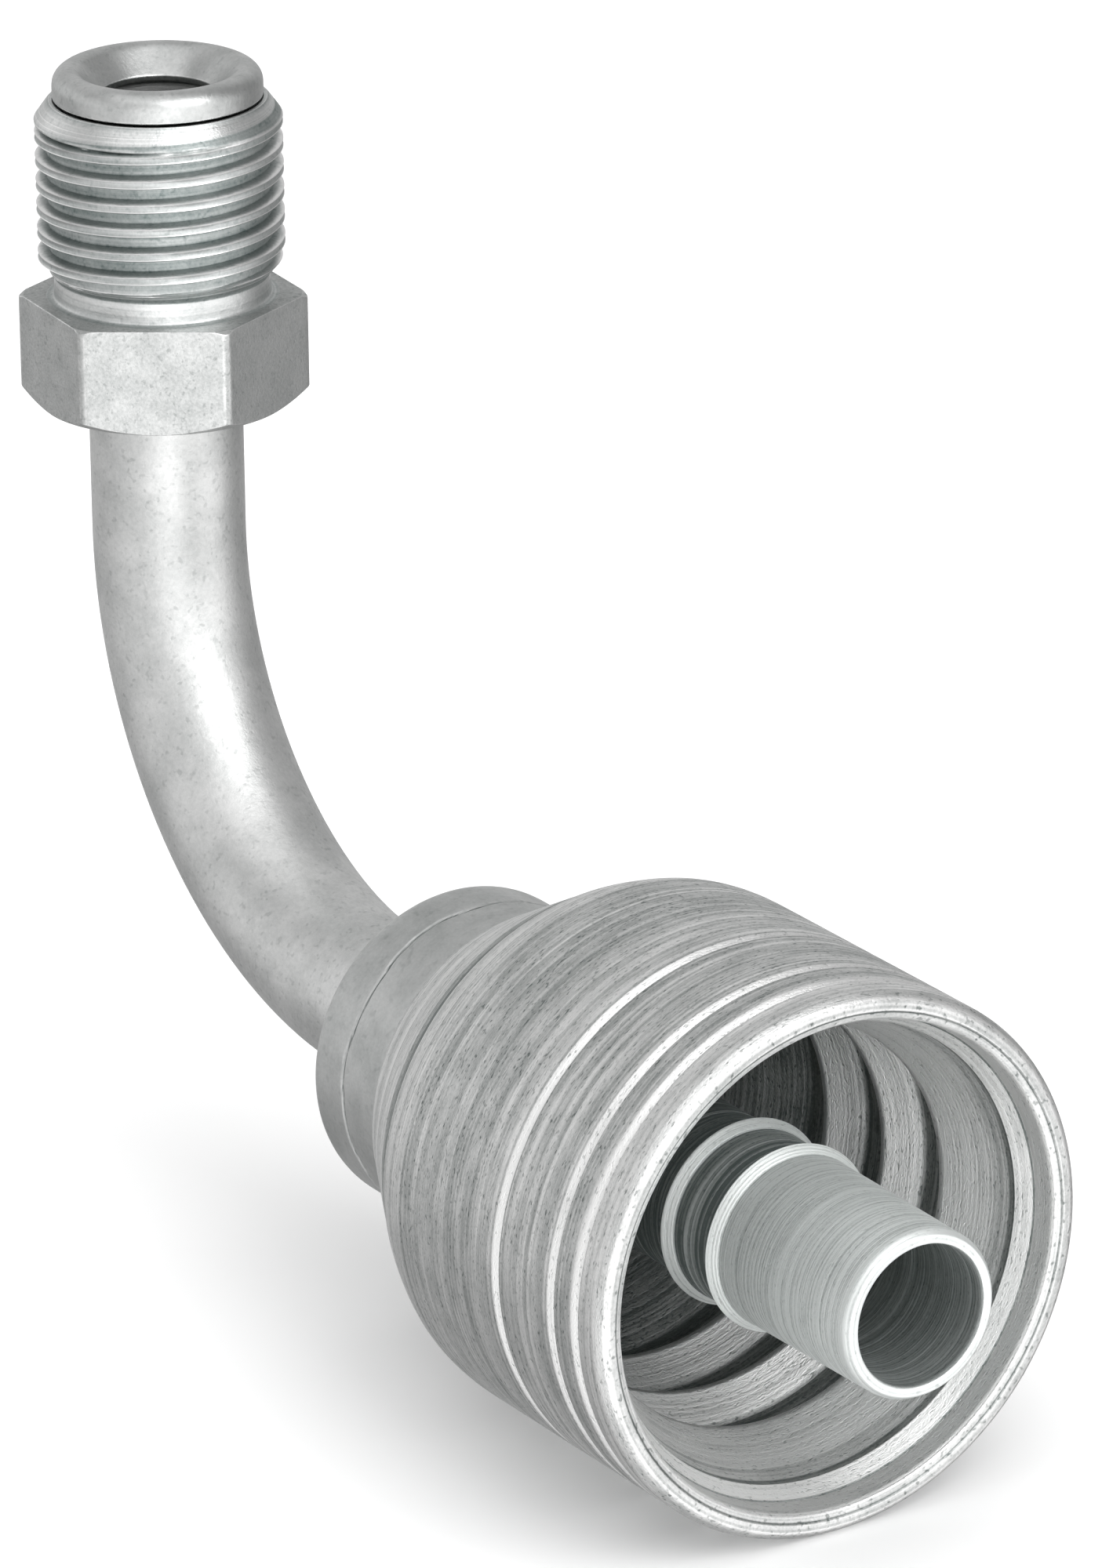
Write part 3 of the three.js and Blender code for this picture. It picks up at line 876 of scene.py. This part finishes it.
@dataclass
class Ferrule:
    """The shell that is crimped on the hose: grooved outside, saw teeth inside."""

    radius: float = 13.85
    mouth: float = 12.56
    length: float = 27.25
    shoulder: float = 18.0
    rings: tuple[float, ...] = (2.17, 4.22, 8.98)
    ring_width: float = 0.54
    ring_depth: float = 0.4
    teeth: tuple[float, ...] = (16.5, 11.6, 6.7)
    rises: tuple[float, ...] = (2.0, 2.0, 4.0)
    wall: float = 11.7
    undercut: float = 11.95
    crest: float = 10.35
    tip_land: float = 0.28
    hole: float = 5.8
    edge: float = 0.38  # how far the rim's rounded edges reach in
    cone: tuple[Corner, ...] = (
        Corner(13.14, 19.8, 0.3, Shine.CLEAN),
        Corner(12.9, 20.3, 0.1, Shine.BURNISHED),
        Corner(12.76, 20.48, 0.06, Shine.DULL),
        Corner(12.2, 21.6, 0.3, Shine.CLEAN),
        Corner(9.36, 27.0, 0.2, Shine.SATIN),
    )
    # painted shade on the rear wall inside, darkest at the hole and lighter towards the teeth
    rear_wall: tuple[Corner, ...] = (
        Corner(5.8, 24.5, 0.1, Shine.SHADE),
        Corner(8.4, 24.2, 0.3, Shine.DULL),
        Corner(11.95, 19.2, 0.5, Shine.MATT),
    )
    # painted highlights on the bevels inside the mouth, with a thin line of painted shade between them
    counterbore: tuple[Corner, ...] = (
        Corner(11.7, 2.3, 0.05, Shine.BURNISHED),
        Corner(12.22, 1.54, 0.05, Shine.DULL),
        Corner(12.3, 1.46, 0.05, Shine.BURNISHED),
        Corner(12.44, 0.34, 0.1, Shine.BRIGHT),
    )
    sides: int = 256

    def finish(self) -> Plating:
        """The finish of the shell."""
        return Plating(
            "ferrule_turned_zinc", bands=0.14, lines=0.26, scratches=0.2, grain=0.2, flecks=0.44,
            fleck_size=0.32, bands_per_mm=0.9, lines_per_mm=6.0, stretch=DRAWN_ROUND, rough_dark=0.56,
            rough_light=0.44, seed=2.0,
        )

    def _ring(self, place: float) -> list[Corner]:
        """One shallow groove: painted shade on its steep wall that faces back, and a painted highlight on its
        side that faces the front.
        """
        half = self.ring_width / 2
        return [
            Corner(self.radius, place - half - 0.08, 0.03, Shine.SHADE),
            Corner(self.radius - self.ring_depth, place - half, 0.02, Shine.BURNISHED),
            Corner(self.radius, place + half, 0.1, Shine.SATIN),
        ]

    def _tooth(self, tip: float, rise: float) -> list[Corner]:
        """One saw tooth: an undercut behind in painted shade, a narrow tip, and a hollow slope with a painted
        highlight that gives way to painted shade on the wall towards the mouth.
        """
        height = self.wall - self.crest
        front = tip - self.tip_land
        return [
            Corner(self.undercut, tip + 0.32, 0.12, Shine.SHADE),
            Corner(self.crest, tip, 0.06, Shine.BURNISHED),
            Corner(self.crest + 0.03, front, 0.1, Shine.BURNISHED),
            Corner(self.crest + 0.45 * height, front - 0.36 * rise, 0.4, Shine.BURNISHED),
            Corner(self.crest + 0.8 * height, front - 0.7 * rise, 0.4, Shine.CLEAN),
            Corner(self.wall, tip - rise, 0.3, Shine.DULL),
        ]

    def outline(self) -> Outline:
        """The shell's closed outline, from the mouth back outside and forward inside."""
        return Outline([
            Corner(self.mouth, 0.16, 0.08, Shine.CLEAN),
            # a thin line of painted shade in the rim's shallow step
            Corner(self.mouth + 0.28, 0.1, 0.06, Shine.DULL),
            Corner(self.mouth + self.edge, 0.0, 0.08, Shine.CLEAN),
            Corner(self.radius - self.edge, 0.0, 0.36, Shine.CLEAN),
            Corner(self.radius, 0.5, 0.25, Shine.CLEAN),
            *(corner for place in self.rings for corner in self._ring(place)),
            Corner(self.radius, self.shoulder, 1.4, Shine.CLEAN),
            *self.cone,
            Corner(9.05, self.length, 0.1, Shine.DULL),
            # painted shade down the rear hole
            Corner(self.hole, self.length, 0.1, Shine.SHADE),
            *self.rear_wall,
            *(corner for tip, rise in zip(self.teeth, self.rises) for corner in self._tooth(tip, rise)),
            *self.counterbore,
        ])

    def build(self) -> Piece:
        """Turns, finishes and hands over the shell."""
        finish = self.finish().material()
        piece = turned_piece("ferrule_shell", self.outline(), self.sides, Axis.HOSE, finish)
        finish_piece(piece, "ferrule", Body.FITTING)
        return piece


@dataclass
class HoseStem:
    """The barbed stem that the hose is pushed on, with the collar that holds the tube."""

    tip: float = -6.45
    bore: float = 3.55
    nose: float = 4.27
    barb: float = 4.8
    barbs: tuple[float, ...] = (4.6, 8.4)
    land: float = 0.62
    lift: float = 0.4  # how far a barb's front, with its painted highlight, rises
    shank: float = 4.2
    collar: float = 8.38
    collar_from: float = 27.4
    collar_to: float = 34.4
    collar_edge: float = 0.5
    socket: float = 4.1
    socket_foot: float = 28.4
    seam: float = 31.2
    seam_reach: float = 0.75  # how far either side of it has close rows
    seam_rows: int = 17
    seam_shape: tuple[float, float, float] = (0.11, 0.08, 1.3)  # width, depth and how far it wanders
    seam_seed: float = 3.0
    # painted shade on the flange deep inside the ferrule
    flange: tuple[Corner, ...] = (
        Corner(4.2, 22.2, 0.1, Shine.SHADE),
        Corner(6.4, 22.35, 0.1, Shine.DULL),
        Corner(6.4, 24.3, 0.05, Shine.SHADE),
        Corner(5.6, 24.3, 0.05, Shine.SHADE),
        Corner(5.6, 27.4, 0.05, Shine.SHADE),
    )
    sides: int = 224

    def finish(self) -> Plating:
        """The finish of the stem."""
        return Plating(
            "stem_turned_zinc", dark=(0.19, 0.22, 0.215), light=(0.95, 0.98, 0.97), bands=0.1, lines=0.4,
            scratches=0.35, flecks=0.2, blotch=0.1, lines_per_mm=6.5, stretch=DRAWN_ROUND, rough_dark=0.6,
            rough_light=0.55, seed=5.0,
        )

    def collar_finish(self) -> Plating:
        """The finish of the collar, which the brazing heat and the plating left smooth."""
        return Plating(
            "collar_satin_zinc", bands=0.06, lines=0.0, scratches=0.0, blotch=0.16, grain=0.08, flecks=0.1,
            bands_per_mm=0.6, blotch_size=3.0, fleck_size=0.5, rough_dark=0.52, rough_light=0.42, seed=6.0,
        )

    def outline(self) -> Outline:
        """The stem's closed outline, from the tip back outside and forward through the bore."""
        rows = np.linspace(-self.seam_reach, self.seam_reach, self.seam_rows)
        return Outline([
            # painted highlight on the nose's face and chamfer
            Corner(self.bore + 0.06, self.tip + 0.04, 0.06, Shine.BURNISHED),
            Corner(self.nose - 0.22, self.tip, 0.12, Shine.BURNISHED),
            Corner(self.nose, self.tip + 0.36, 0.12, Shine.BRIGHT),
            *self._barb(self.barbs[0]),
            Corner(4.35, self.barbs[0] + 1.6, 0.3, Shine.DULL),
            *self._barb(self.barbs[1]),
            *self.flange,
            Corner(self.collar - 0.16, self.collar_from, 0.06, Shine.DULL),
            Corner(self.collar, self.collar_from + 0.18, 0.08, Shine.SATIN),
            Corner(self.collar, self.seam - 0.8, 0.02, Shine.SATIN),
            *(Corner(self.collar, self.seam + row, 0.01, Shine.SATIN) for row in rows),
            Corner(self.collar, self.collar_to - self.collar_edge, 0.45, Shine.SATIN),
            Corner(self.collar - self.collar_edge, self.collar_to, 0.3, Shine.SATIN),
            # painted shade in the socket that holds the tube
            Corner(self.socket, self.collar_to, 0.05, Shine.DULL),
            Corner(self.socket, self.socket_foot, 0.05, Shine.SHADE),
            Corner(self.bore, self.socket_foot, 0.1, Shine.SATIN),
            Corner(self.bore, self.tip + 0.24, 0.1, Shine.CLEAN),
        ])

    def _barb(self, place: float) -> list[Corner]:
        """One barb: a front with a painted highlight, a sharp back and the foot of the shank behind it, the
        back and the foot in painted shade.
        """
        return [
            Corner(self.barb - self.lift, place - self.land, 0.06, Shine.BURNISHED),
            Corner(self.barb, place, 0.06, Shine.SHADE),
            Corner(self.shank, place + 0.16, 0.1, Shine.SHADE),
        ]

    def build(self) -> Piece:
        """Turns the stem, sinks the collar's seam and hands it over."""
        finish = self.finish().material()
        piece = turned_piece("barbed_stem", self.outline(), self.sides, Axis.HOSE, finish)
        sizes = dict(zip(("Place", "Width", "Depth", "Wander"), (self.seam, *self.seam_shape)))
        TREES["seam"].apply(piece, {**in_metres(sizes), "Seed": self.seam_seed, "Finish": finish})
        dress(piece, self.collar_finish(), lambda place: place.y > self.collar_from)
        finish_piece(piece, "hose_stem", Body.FITTING)
        return piece


@dataclass
class BentTube:
    """The drawn steel tube: straight in the stem, bent through a right angle, flared in the nut."""

    outer: float = 3.97
    bore: float = 3.08
    start: float = 28.7
    bend_start: float = 40.87
    bend_radius: float = 20.0
    lip: float = 0.85
    lip_centre: float = 4.54
    lip_height: float = 43.7
    lip_foot: float = 43.0
    flare_from: float = 42.2
    cone_foot: float = 5.02
    folded: float = 2.84
    lip_arc: float = 135.0  # degrees from its outer side over its top
    lip_points: int = 12
    cone_slope: float = 45.0
    sides: int = 128

    def finish(self) -> Plating:
        """The finish of the tube."""
        return Plating(
            "tube_drawn_zinc", bands=0.0, lines=0.0, scratches=0.0, blotch=0.18, grain=0.12, flecks=0.16,
            blotch_size=3.0, grain_size=0.2, fleck_size=0.36, rough_dark=0.5, rough_light=0.41, seed=7.0,
        )

    def flare_finish(self) -> Plating:
        """The finish of the flare, which the forming cone left smoother."""
        return Plating(
            "flare_formed_zinc", bands=0.0, lines=0.0, scratches=0.0, blotch=0.14, grain=0.1, flecks=0.1,
            blotch_size=1.6, grain_size=0.2, rough_dark=0.42, rough_light=0.27, seed=8.0,
        )

    def along(self, height: float) -> float:
        """The distance along the straight tube that ends up at a height on the nut's axis."""
        return self.bend_start + self.bend_radius * (math.pi / 2 - 1) + height

    def outline(self) -> Outline:
        """The straight tube's closed outline, with the lip as an arc."""
        turns = np.radians(np.linspace(0, self.lip_arc, self.lip_points))
        heights = [self.along(self.lip_height + self.lip * math.sin(turn)) for turn in turns]
        radii = [self.lip_centre + self.lip * math.cos(turn) for turn in turns]
        back = self.lip * math.cos(math.radians(self.cone_slope))
        edge = self.lip_height + back - (self.lip_centre - back - self.folded)
        return Outline([
            Corner(self.bore, self.start, 0.1, Shine.DULL),
            Corner(self.outer, self.start, 0.1, Shine.CLEAN),
            # painted shade under the lip, in the gap above the nut
            Corner(self.outer, self.along(self.lip_foot - (self.cone_foot - self.outer)), 0.3, Shine.SHADE),
            Corner(self.cone_foot, self.along(self.lip_foot), 0.03, Shine.SHADE),
            Corner(self.lip_centre + self.lip, self.along(self.lip_foot), 0.16, Shine.SATIN),
            *(Corner(radius, height, 0.1) for radius, height in zip(radii, heights)),
            # painted shade just inside the flare's mouth
            Corner(self.folded, self.along(edge), 0.08, Shine.DULL),
            Corner(self.folded + 0.03, self.along(edge - 0.3), 0.06, Shine.SHADE),
            Corner(self.bore, self.along(edge - 0.42), 0.08, Shine.CLEAN),
        ])

    def build(self) -> Piece:
        """Turns the straight tube, bends it and hands it over."""
        finish = self.finish().material()
        piece = turned_piece("flared_tube", self.outline(), self.sides, Axis.HOSE, finish)
        sizes = in_metres({"Bend start": self.bend_start, "Bend radius": self.bend_radius})
        TREES["bend"].apply(piece, {**sizes, "Bend angle": math.pi / 2, "Finish": finish})
        dress(piece, self.flare_finish(), lambda place: place.z > self.flare_from)
        finish_piece(piece, "bent_tube", Body.FITTING)
        return piece


@dataclass
class BrazeFillet:
    """The ring of filler metal between the tube and the collar."""

    inner: float = 4.09
    start: float = 34.5
    length: float = 1.6
    height: float = 2.0
    lip: float = 0.12
    face_points: int = 9
    lump: float = 1.1
    lump_height: float = 0.1
    lump_seed: float = 4.0
    sides: int = 160

    def finish(self) -> Plating:
        """The finish of the plated filler metal."""
        return Plating(
            "braze_plated_zinc", bands=0.0, lines=0.0, scratches=0.0, blotch=0.22, grain=0.12, flecks=0.2,
            blotch_size=1.4, rough_dark=0.52, rough_light=0.42, seed=11.0,
        )

    def outline(self) -> Outline:
        """A hollow-faced ring."""
        face = [
            Corner(
                self.inner + self.lip + self.height * (1 + math.cos(a)),
                self.start + self.lip + self.length * (1 + math.sin(a)),
                0.08,
            )
            for a in np.linspace(3 * math.pi / 2, math.pi, self.face_points)
        ]
        return Outline([
            Corner(self.inner, self.start, 0.03),
            Corner(self.inner + self.lip + self.height, self.start, 0.03),
            *face,
            Corner(self.inner, self.start + self.lip + self.length, 0.03),
        ], longest=0.25)

    def build(self) -> Piece:
        """Turns the ring, makes it lumpy and hands it over."""
        finish = self.finish().material()
        piece = turned_piece("braze_ring", self.outline(), self.sides, Axis.HOSE, finish)
        sizes = in_metres({"Lump size": self.lump, "Height": self.lump_height})
        TREES["puddle"].apply(piece, {**sizes, "Seed": self.lump_seed, "Finish": finish})
        finish_piece(piece, "braze_fillet", Body.FITTING)
        return piece


@dataclass
class SwivelNut:
    """The male flare nut: a chamfered hexagon, a neck and a rolled thread over a running bore."""

    axis_y: float = 60.87
    turn: float = 24.6  # degrees from the X axis to a corner
    bore: float = 4.07
    bottom: float = 26.9
    hex_top: float = 32.45
    across: float = 13.0
    corner: float = 0.5
    face: float = 6.45
    top_face: float = 7.15
    chamfer: float = 30.0
    neck: float = 5.55
    neck_taper: float = 0.02  # how much wider its foot is
    thread_from: float = 33.7
    top: float = 42.94
    crest: float = 6.35
    root: float = 5.78
    thread_end: float = 41.55
    top_radius: float = 5.62
    pitch: float = 1.27
    rows_per_pitch: int = 20
    turns: float = 6.1
    countersink: float = 5.4
    foot_slope: float = 0.9
    top_slope: float = 0.72
    form: tuple[tuple[float, float], ...] = (
        (0.0, 0.0), (0.4, 0.0), (0.58, 0.75), (0.64, 0.95), (0.69, 1.0), (0.76, 0.94), (1.0, 0.88),
    )
    # The thread's tone: low in the roots, where it paints shade, and higher on the crests, with a painted
    # highlight along each crest's lip.
    root_shine: float = 0.27
    crest_shine: float = 0.2  # on top of the root's
    lip_highlight: float = 0.55
    flank: tuple[float, float] = (0.4, 0.6)  # where the form climbs, from root at 0 to crest at 1
    lip: tuple[float, float] = (0.68, 0.07)  # where the painted highlight along a crest's lip stands, and its width
    hex_margins: tuple[float, float, float] = (0.1, 0.05, 0.4)  # below, above, and out from the neck
    side_columns: int = 32

    def finishes(self) -> tuple[Plating, Plating]:
        """The finish of the turned stretches and of the hexagon's flats."""
        turned = Plating(
            "nut_rolled_zinc", dark=(0.17, 0.21, 0.205), lines_per_mm=5.0, bands=0.08, lines=0.12,
            scratches=0.1, flecks=0.12, blotch=0.1, painted_crease_shade=0.05, wear=0.3, seed=13.0,
        )
        milled = Plating(
            "nut_milled_zinc", bands=0.0, lines=0.0, scratches=0.0, blotch=0.12, grain=0.16, flecks=0.15,
            blotch_size=1.6, fleck_size=0.24, seed=17.0,
        )
        return turned, milled

    def columns(self) -> np.ndarray:
        """Angles round the nut from one corner, crowded at the corners, in radians."""
        share = np.linspace(-1, 1, self.side_columns + 1)[:-1]
        side = math.pi / 6 * (1 + np.sin(math.pi / 2 * share))
        angles = np.concatenate([side + i * math.pi / 3 for i in range(6)])
        return np.append(angles, math.tau)

    def reach(self, angles: np.ndarray) -> np.ndarray:
        """How far the hexagon reaches at each angle, with rounded corners."""
        half = self.across / 2
        from_flat = np.abs(np.mod(angles, math.pi / 3) - math.pi / 6)
        from_corner = math.pi / 6 - from_flat
        centre = (half - self.corner) / math.cos(math.pi / 6)
        flat = half / np.cos(from_flat)
        inside = np.maximum(self.corner**2 - (centre * np.sin(from_corner)) ** 2, 0.0)
        rounded = centre * np.cos(from_corner) + np.sqrt(inside)
        rounding = math.pi / 6 - math.atan(centre * math.sin(math.pi / 6) / half)
        return np.where(from_corner < rounding, rounded, flat)

    def blank(self, angles: np.ndarray) -> tuple[Outline, int]:
        """The nut before its thread is cut.

        Args:
            angles: The columns' angles.

        Returns:
            The outline at every column, and the number of corners before the thread.
        """
        reach = self.reach(angles)
        fall = math.tan(math.radians(self.chamfer))
        before = [
            Corner(self.bore, self.bottom + 0.3, 0.05, Shine.MATT),
            Corner(self.bore + 0.3, self.bottom, 0.05, Shine.SATIN),
            Corner(self.face, self.bottom, 0.08, Shine.SATIN),
            Corner(reach, self.bottom + (reach - self.face) * fall, 0.06, Shine.SATIN),
            Corner(reach, self.hex_top - np.maximum(reach - self.top_face, 0.05) * fall, 0.06, Shine.SATIN),
            Corner(np.minimum(reach - 0.05, self.top_face), self.hex_top, 0.04, Shine.MATT),
            Corner(self.neck + self.neck_taper, self.hex_top, 0.3, Shine.CLEAN),
            Corner(self.neck, self.thread_from - 0.1, 0.06, Shine.MATT),
        ]
        after = [
            Corner(self.top_radius - 0.03, self.top, 0.03, Shine.SATIN),
            Corner(self.countersink, self.top, 0.03, Shine.MATT),
            # painted shade down the bore below the countersink
            Corner(self.bore, self.top - (self.countersink - self.bore), 0.1, Shine.SHADE),
        ]
        return Outline([*before, *after]), len(before)

    def rows(self, angles: np.ndarray) -> tuple[np.ndarray, dict[str, np.ndarray]]:
        """Lays the thread's rows between the blank's.

        Args:
            angles: The columns' angles.

        Returns:
            The radius and height of every row at every column, and the numbers kept on each row.
        """
        outline, corners = self.blank(angles)
        last = outline.first_rows[corners - 1] + (FILLET_STEPS + 1) // 2  # the middle of the neck's edge
        head, tail = slice(last + 1), slice(outline.first_rows[corners], None)
        steps = np.arange(-1, self.turns + 1 + TINY, 1 / self.rows_per_pitch)
        height = self.thread_from + (steps + 1) * self.pitch
        thread = np.stack(np.broadcast_arrays(self.root, height[:, None] + 0 * angles), -1)

        def joined(blank: np.ndarray, between: np.ndarray) -> np.ndarray:
            """The blank's rows with others in the thread's place."""
            return np.concatenate([blank[head], between, blank[tail]])

        plain = np.zeros(len(outline.run))
        kept = {
            "pitch_row": joined(plain, steps),
            "thread_cut": joined(plain, np.ones(len(steps))),
            "finish_and_painted_light": joined(outline.finish_and_painted_light, self.thread_shine(steps)),
            "run": joined(outline.run, outline.run[last] + steps * self.pitch),
        }
        return joined(outline.points, thread), kept

    def build(self) -> Piece:
        """Lays out the blank, cuts the thread, finishes and hands over the nut."""
        angles = self.columns()
        rows, kept = self.rows(angles)
        count, around = rows.shape[:2]
        across, along = rows[..., 0] * np.cos(angles), rows[..., 0] * np.sin(angles)
        points = np.stack([across, along, rows[..., 1]], -1).reshape(-1, 3) * MM
        starts = [(i * around, (i + 1) % count * around) for i in range(count)]
        faces = [
            (here + j, here + j + 1, above + j + 1, above + j)
            for here, above in starts
            for j in range(around - 1)
        ]
        piece = new_piece("flare_nut", points, faces)
        for name, values in kept.items():
            keep_numbers(piece.data, name, np.repeat(values, around))
        keep_numbers(piece.data, "turn_share", np.tile(angles / math.tau, count))
        turned, milled = self.finishes()
        self.cut(piece, turned.material())
        dress(piece, milled, self._on_hexagon)
        turn = Matrix.Rotation(math.radians(self.turn), 4, "Z")
        piece.data.transform(Matrix.Translation((0, self.axis_y * MM, 0)) @ turn)
        finish_piece(piece, "swivel_nut", Body.NUT)
        return piece

    def thread_shine(self, steps: np.ndarray) -> np.ndarray:
        """Greenish roots dulled with painted shade, satin crests with a painted highlight along a lip at each
        side, and a clean band above them.
        """
        across = 1 - np.abs(np.mod(steps, 1) * 2 - 1)
        low, high = self.flank
        place, width = self.lip
        lip_highlights = np.exp(-(((across - place) / width) ** 2))
        crests = np.clip((across - low) / (high - low), 0, 1)
        finish_and_painted_light = self.root_shine + self.crest_shine * crests + self.lip_highlight * lip_highlights
        return np.where(steps > self.turns, np.maximum(finish_and_painted_light, Shine.CLEAN), finish_and_painted_light)

    def cut(self, piece: Piece, finish: Material) -> None:
        """Cuts the thread on the blank."""
        TREES["thread"] = thread_tree(self.form)
        sizes = {
            "Start": self.thread_from,
            "Pitch": self.pitch,
            "Root radius": self.root,
            "Crest radius": self.crest,
            "Foot radius": self.neck + self.neck_taper,
            "Top": self.top,
            "Top radius": self.top_radius,
            "Thread end": self.thread_end,
        }
        slopes = {"Turns": self.turns, "Foot slope": self.foot_slope, "Top slope": self.top_slope}
        TREES["thread"].apply(piece, {**in_metres(sizes), **slopes, "Finish": finish})

    def _on_hexagon(self, place: Vector) -> bool:
        """Whether a place in millimetres is on the hexagon's flats or end faces."""
        below, above, beside = self.hex_margins
        in_height = self.bottom - below < place.z < self.hex_top + above
        return in_height and math.hypot(place.x, place.y) > self.neck + beside


# ---- Stage ----


def pointing(azimuth: float, elevation: float) -> Vector:
    """The direction at an azimuth from straight in front of the mouth, and an elevation, in degrees."""
    az, el = math.radians(azimuth), math.radians(elevation)
    return Vector((math.sin(az) * math.cos(el), -math.cos(az) * math.cos(el), math.sin(el)))


@dataclass(frozen=True)
class BounceCard:
    """A soft bright patch of the surround, at an azimuth and elevation in degrees. Edge and full are the
    cosines where it starts and where it is at its brightest."""

    azimuth: float
    elevation: float
    edge: float
    full: float
    glow: float

    def direction(self) -> Vector:
        """Where the card stands."""
        return pointing(self.azimuth, self.elevation)


@dataclass(frozen=True)
class SoftBox:
    """A square soft box that faces the object: its azimuth and elevation in degrees, its distance and side in
    metres, its power in watts, and whether the metal mirrors it."""

    name: str
    azimuth: float
    elevation: float
    away: float
    size: float
    power: float
    mirrored: bool = True

    def hang(self, centre: Vector) -> None:
        """Hangs the light where it faces a point."""
        back = pointing(self.azimuth, self.elevation)
        data = bpy.data.lights.new(self.name, "AREA")
        data.shape, data.size, data.energy = "SQUARE", self.size, self.power
        light = bpy.data.objects.new(self.name, data)
        light.location = centre + back * self.away
        light.rotation_mode = "QUATERNION"
        light.rotation_quaternion = back.to_track_quat("Z", "Y")
        light.visible_glossy = self.mirrored
        bpy.context.scene.collection.objects.link(light)


@dataclass
class Studio:
    """A pale floor, a soft surround, soft boxes and the camera."""

    azimuth: float = -33.04
    elevation: float = 21.03
    roll: float = -0.63
    distance: float = 416.67
    target: tuple[float, float, float] = (-16.19, 0.0, 28.23)
    lens: float = 210.84
    sensor: float = 36.0
    sight: tuple[float, float] = (0.01, 20.0)  # metres
    floor_half: float = 3.0  # metres
    floor_gap: float = 0.02
    floor_paint: tuple[float, ...] = (0.93, 0.93, 0.93, 1.0)
    floor_rough: float = 0.9
    floor_gloss: float = 0.1
    base_glow: float = 0.33
    cards: tuple[BounceCard, ...] = (
        BounceCard(5, -12, 0.32, 0.99, 1.0),
        BounceCard(-62, -5, 0.1, 0.9, 0.5),
        BounceCard(165, 24, 0.3, 0.95, 0.3),
        BounceCard(-142, 8, 0.82, 0.98, 0.32),
        BounceCard(-40, 74, 0.72, 0.98, 0.65),
        BounceCard(-25, -62, 0.3, 0.95, 0.22),
    )
    lit_centre: tuple[float, float, float] = (0.0, 0.03, 0.015)  # metres
    boxes: tuple[SoftBox, ...] = (
        SoftBox("key", 5, 42, 0.7, 0.5, 1.8),
        SoftBox("fill", 0, 88, 1.6, 3.2, 24.0, mirrored=False),
    )

    def floor(self) -> None:
        """A plain pale floor under the lowest point of the frame."""
        level = CAD_BOX[0].z - self.floor_gap * MM
        half = self.floor_half
        corners = [(x * half, y * half, level) for x, y in ((-1, -1), (1, -1), (1, 1), (-1, 1))]
        floor = new_piece("floor", np.array(corners), [(0, 1, 2, 3)])
        made = bpy.data.materials.new("pale_floor")
        made.use_nodes = True
        shader = made.node_tree.nodes["Principled BSDF"]
        shader.inputs["Base Color"].default_value = self.floor_paint
        shader.inputs["Roughness"].default_value = self.floor_rough
        shader.inputs["Specular IOR Level"].default_value = self.floor_gloss
        floor.data.materials.append(made)
        floor.visible_glossy = False

    def directions(self) -> tuple[Vector, Vector, Vector]:
        """The camera's right, up and backward directions."""
        az, roll = math.radians(self.azimuth), math.radians(self.roll)
        back = pointing(self.azimuth, self.elevation)
        right = Vector((math.cos(az), math.sin(az), 0.0))
        up = back.cross(right)
        cosine, sine = math.cos(roll), math.sin(roll)
        return right * cosine + up * sine, up * cosine - right * sine, back

    def camera(self) -> None:
        """The camera, at the angle that shows the ferrule's mouth and the nut together."""
        right, up, back = self.directions()
        data = bpy.data.cameras.new("camera")
        data.lens, data.sensor_width, data.sensor_fit = self.lens, self.sensor, "AUTO"
        data.clip_start, data.clip_end = self.sight
        camera = bpy.data.objects.new("camera", data)
        place = (Vector(self.target) + back * self.distance) * MM
        turn = Matrix((right, up, back)).transposed().to_4x4()
        camera.matrix_world = Matrix.Translation(place) @ turn
        bpy.context.scene.collection.objects.link(camera)
        bpy.context.scene.camera = camera

    def surround(self) -> None:
        """A plain soft surround, brighter where a bounce card stands."""
        world = bpy.data.worlds.new("studio")
        bpy.context.scene.world = world
        world.use_nodes = True
        graph = NodeGraph(world.node_tree)
        direction = graph.add("ShaderNodeTexCoord", out="Generated")
        glow = graph.add("ShaderNodeValue")
        glow.default_value = self.base_glow
        for card in self.cards:
            faced = (direction, card.direction())
            cosine = graph.add("ShaderNodeVectorMath", *faced, out="Value", operation="DOT_PRODUCT")
            glow = graph.plus(glow, graph.ramp(cosine, card.edge, card.full, 0.0, card.glow))
        background = world.node_tree.nodes["Background"]
        graph.feed(background.inputs["Strength"], glow)
        background.inputs["Color"].default_value = (1.0, 1.0, 1.0, 1.0)

    def build(self) -> None:
        """Sets the whole stage."""
        self.floor()
        self.camera()
        self.surround()
        for box in self.boxes:
            box.hang(Vector(self.lit_centre))
        bpy.context.scene.view_settings.view_transform = "Standard"


def main() -> None:
    """Builds the stage and the five pieces, and reports each."""
    logging.basicConfig(level=logging.INFO, format="%(name)s: %(message)s")
    Studio().build()
    for group in (turning_marks_group, mottle_group, edge_wear_group):
        group()
    TREES.update(turn=turning_tree(), bend=bending_tree(), seam=seam_tree(), puddle=puddle_tree())
    for assembly in (Ferrule(), HoseStem(), BentTube(), BrazeFillet(), SwivelNut()):
        assembly.build()


if __name__ == "__main__":
    main()
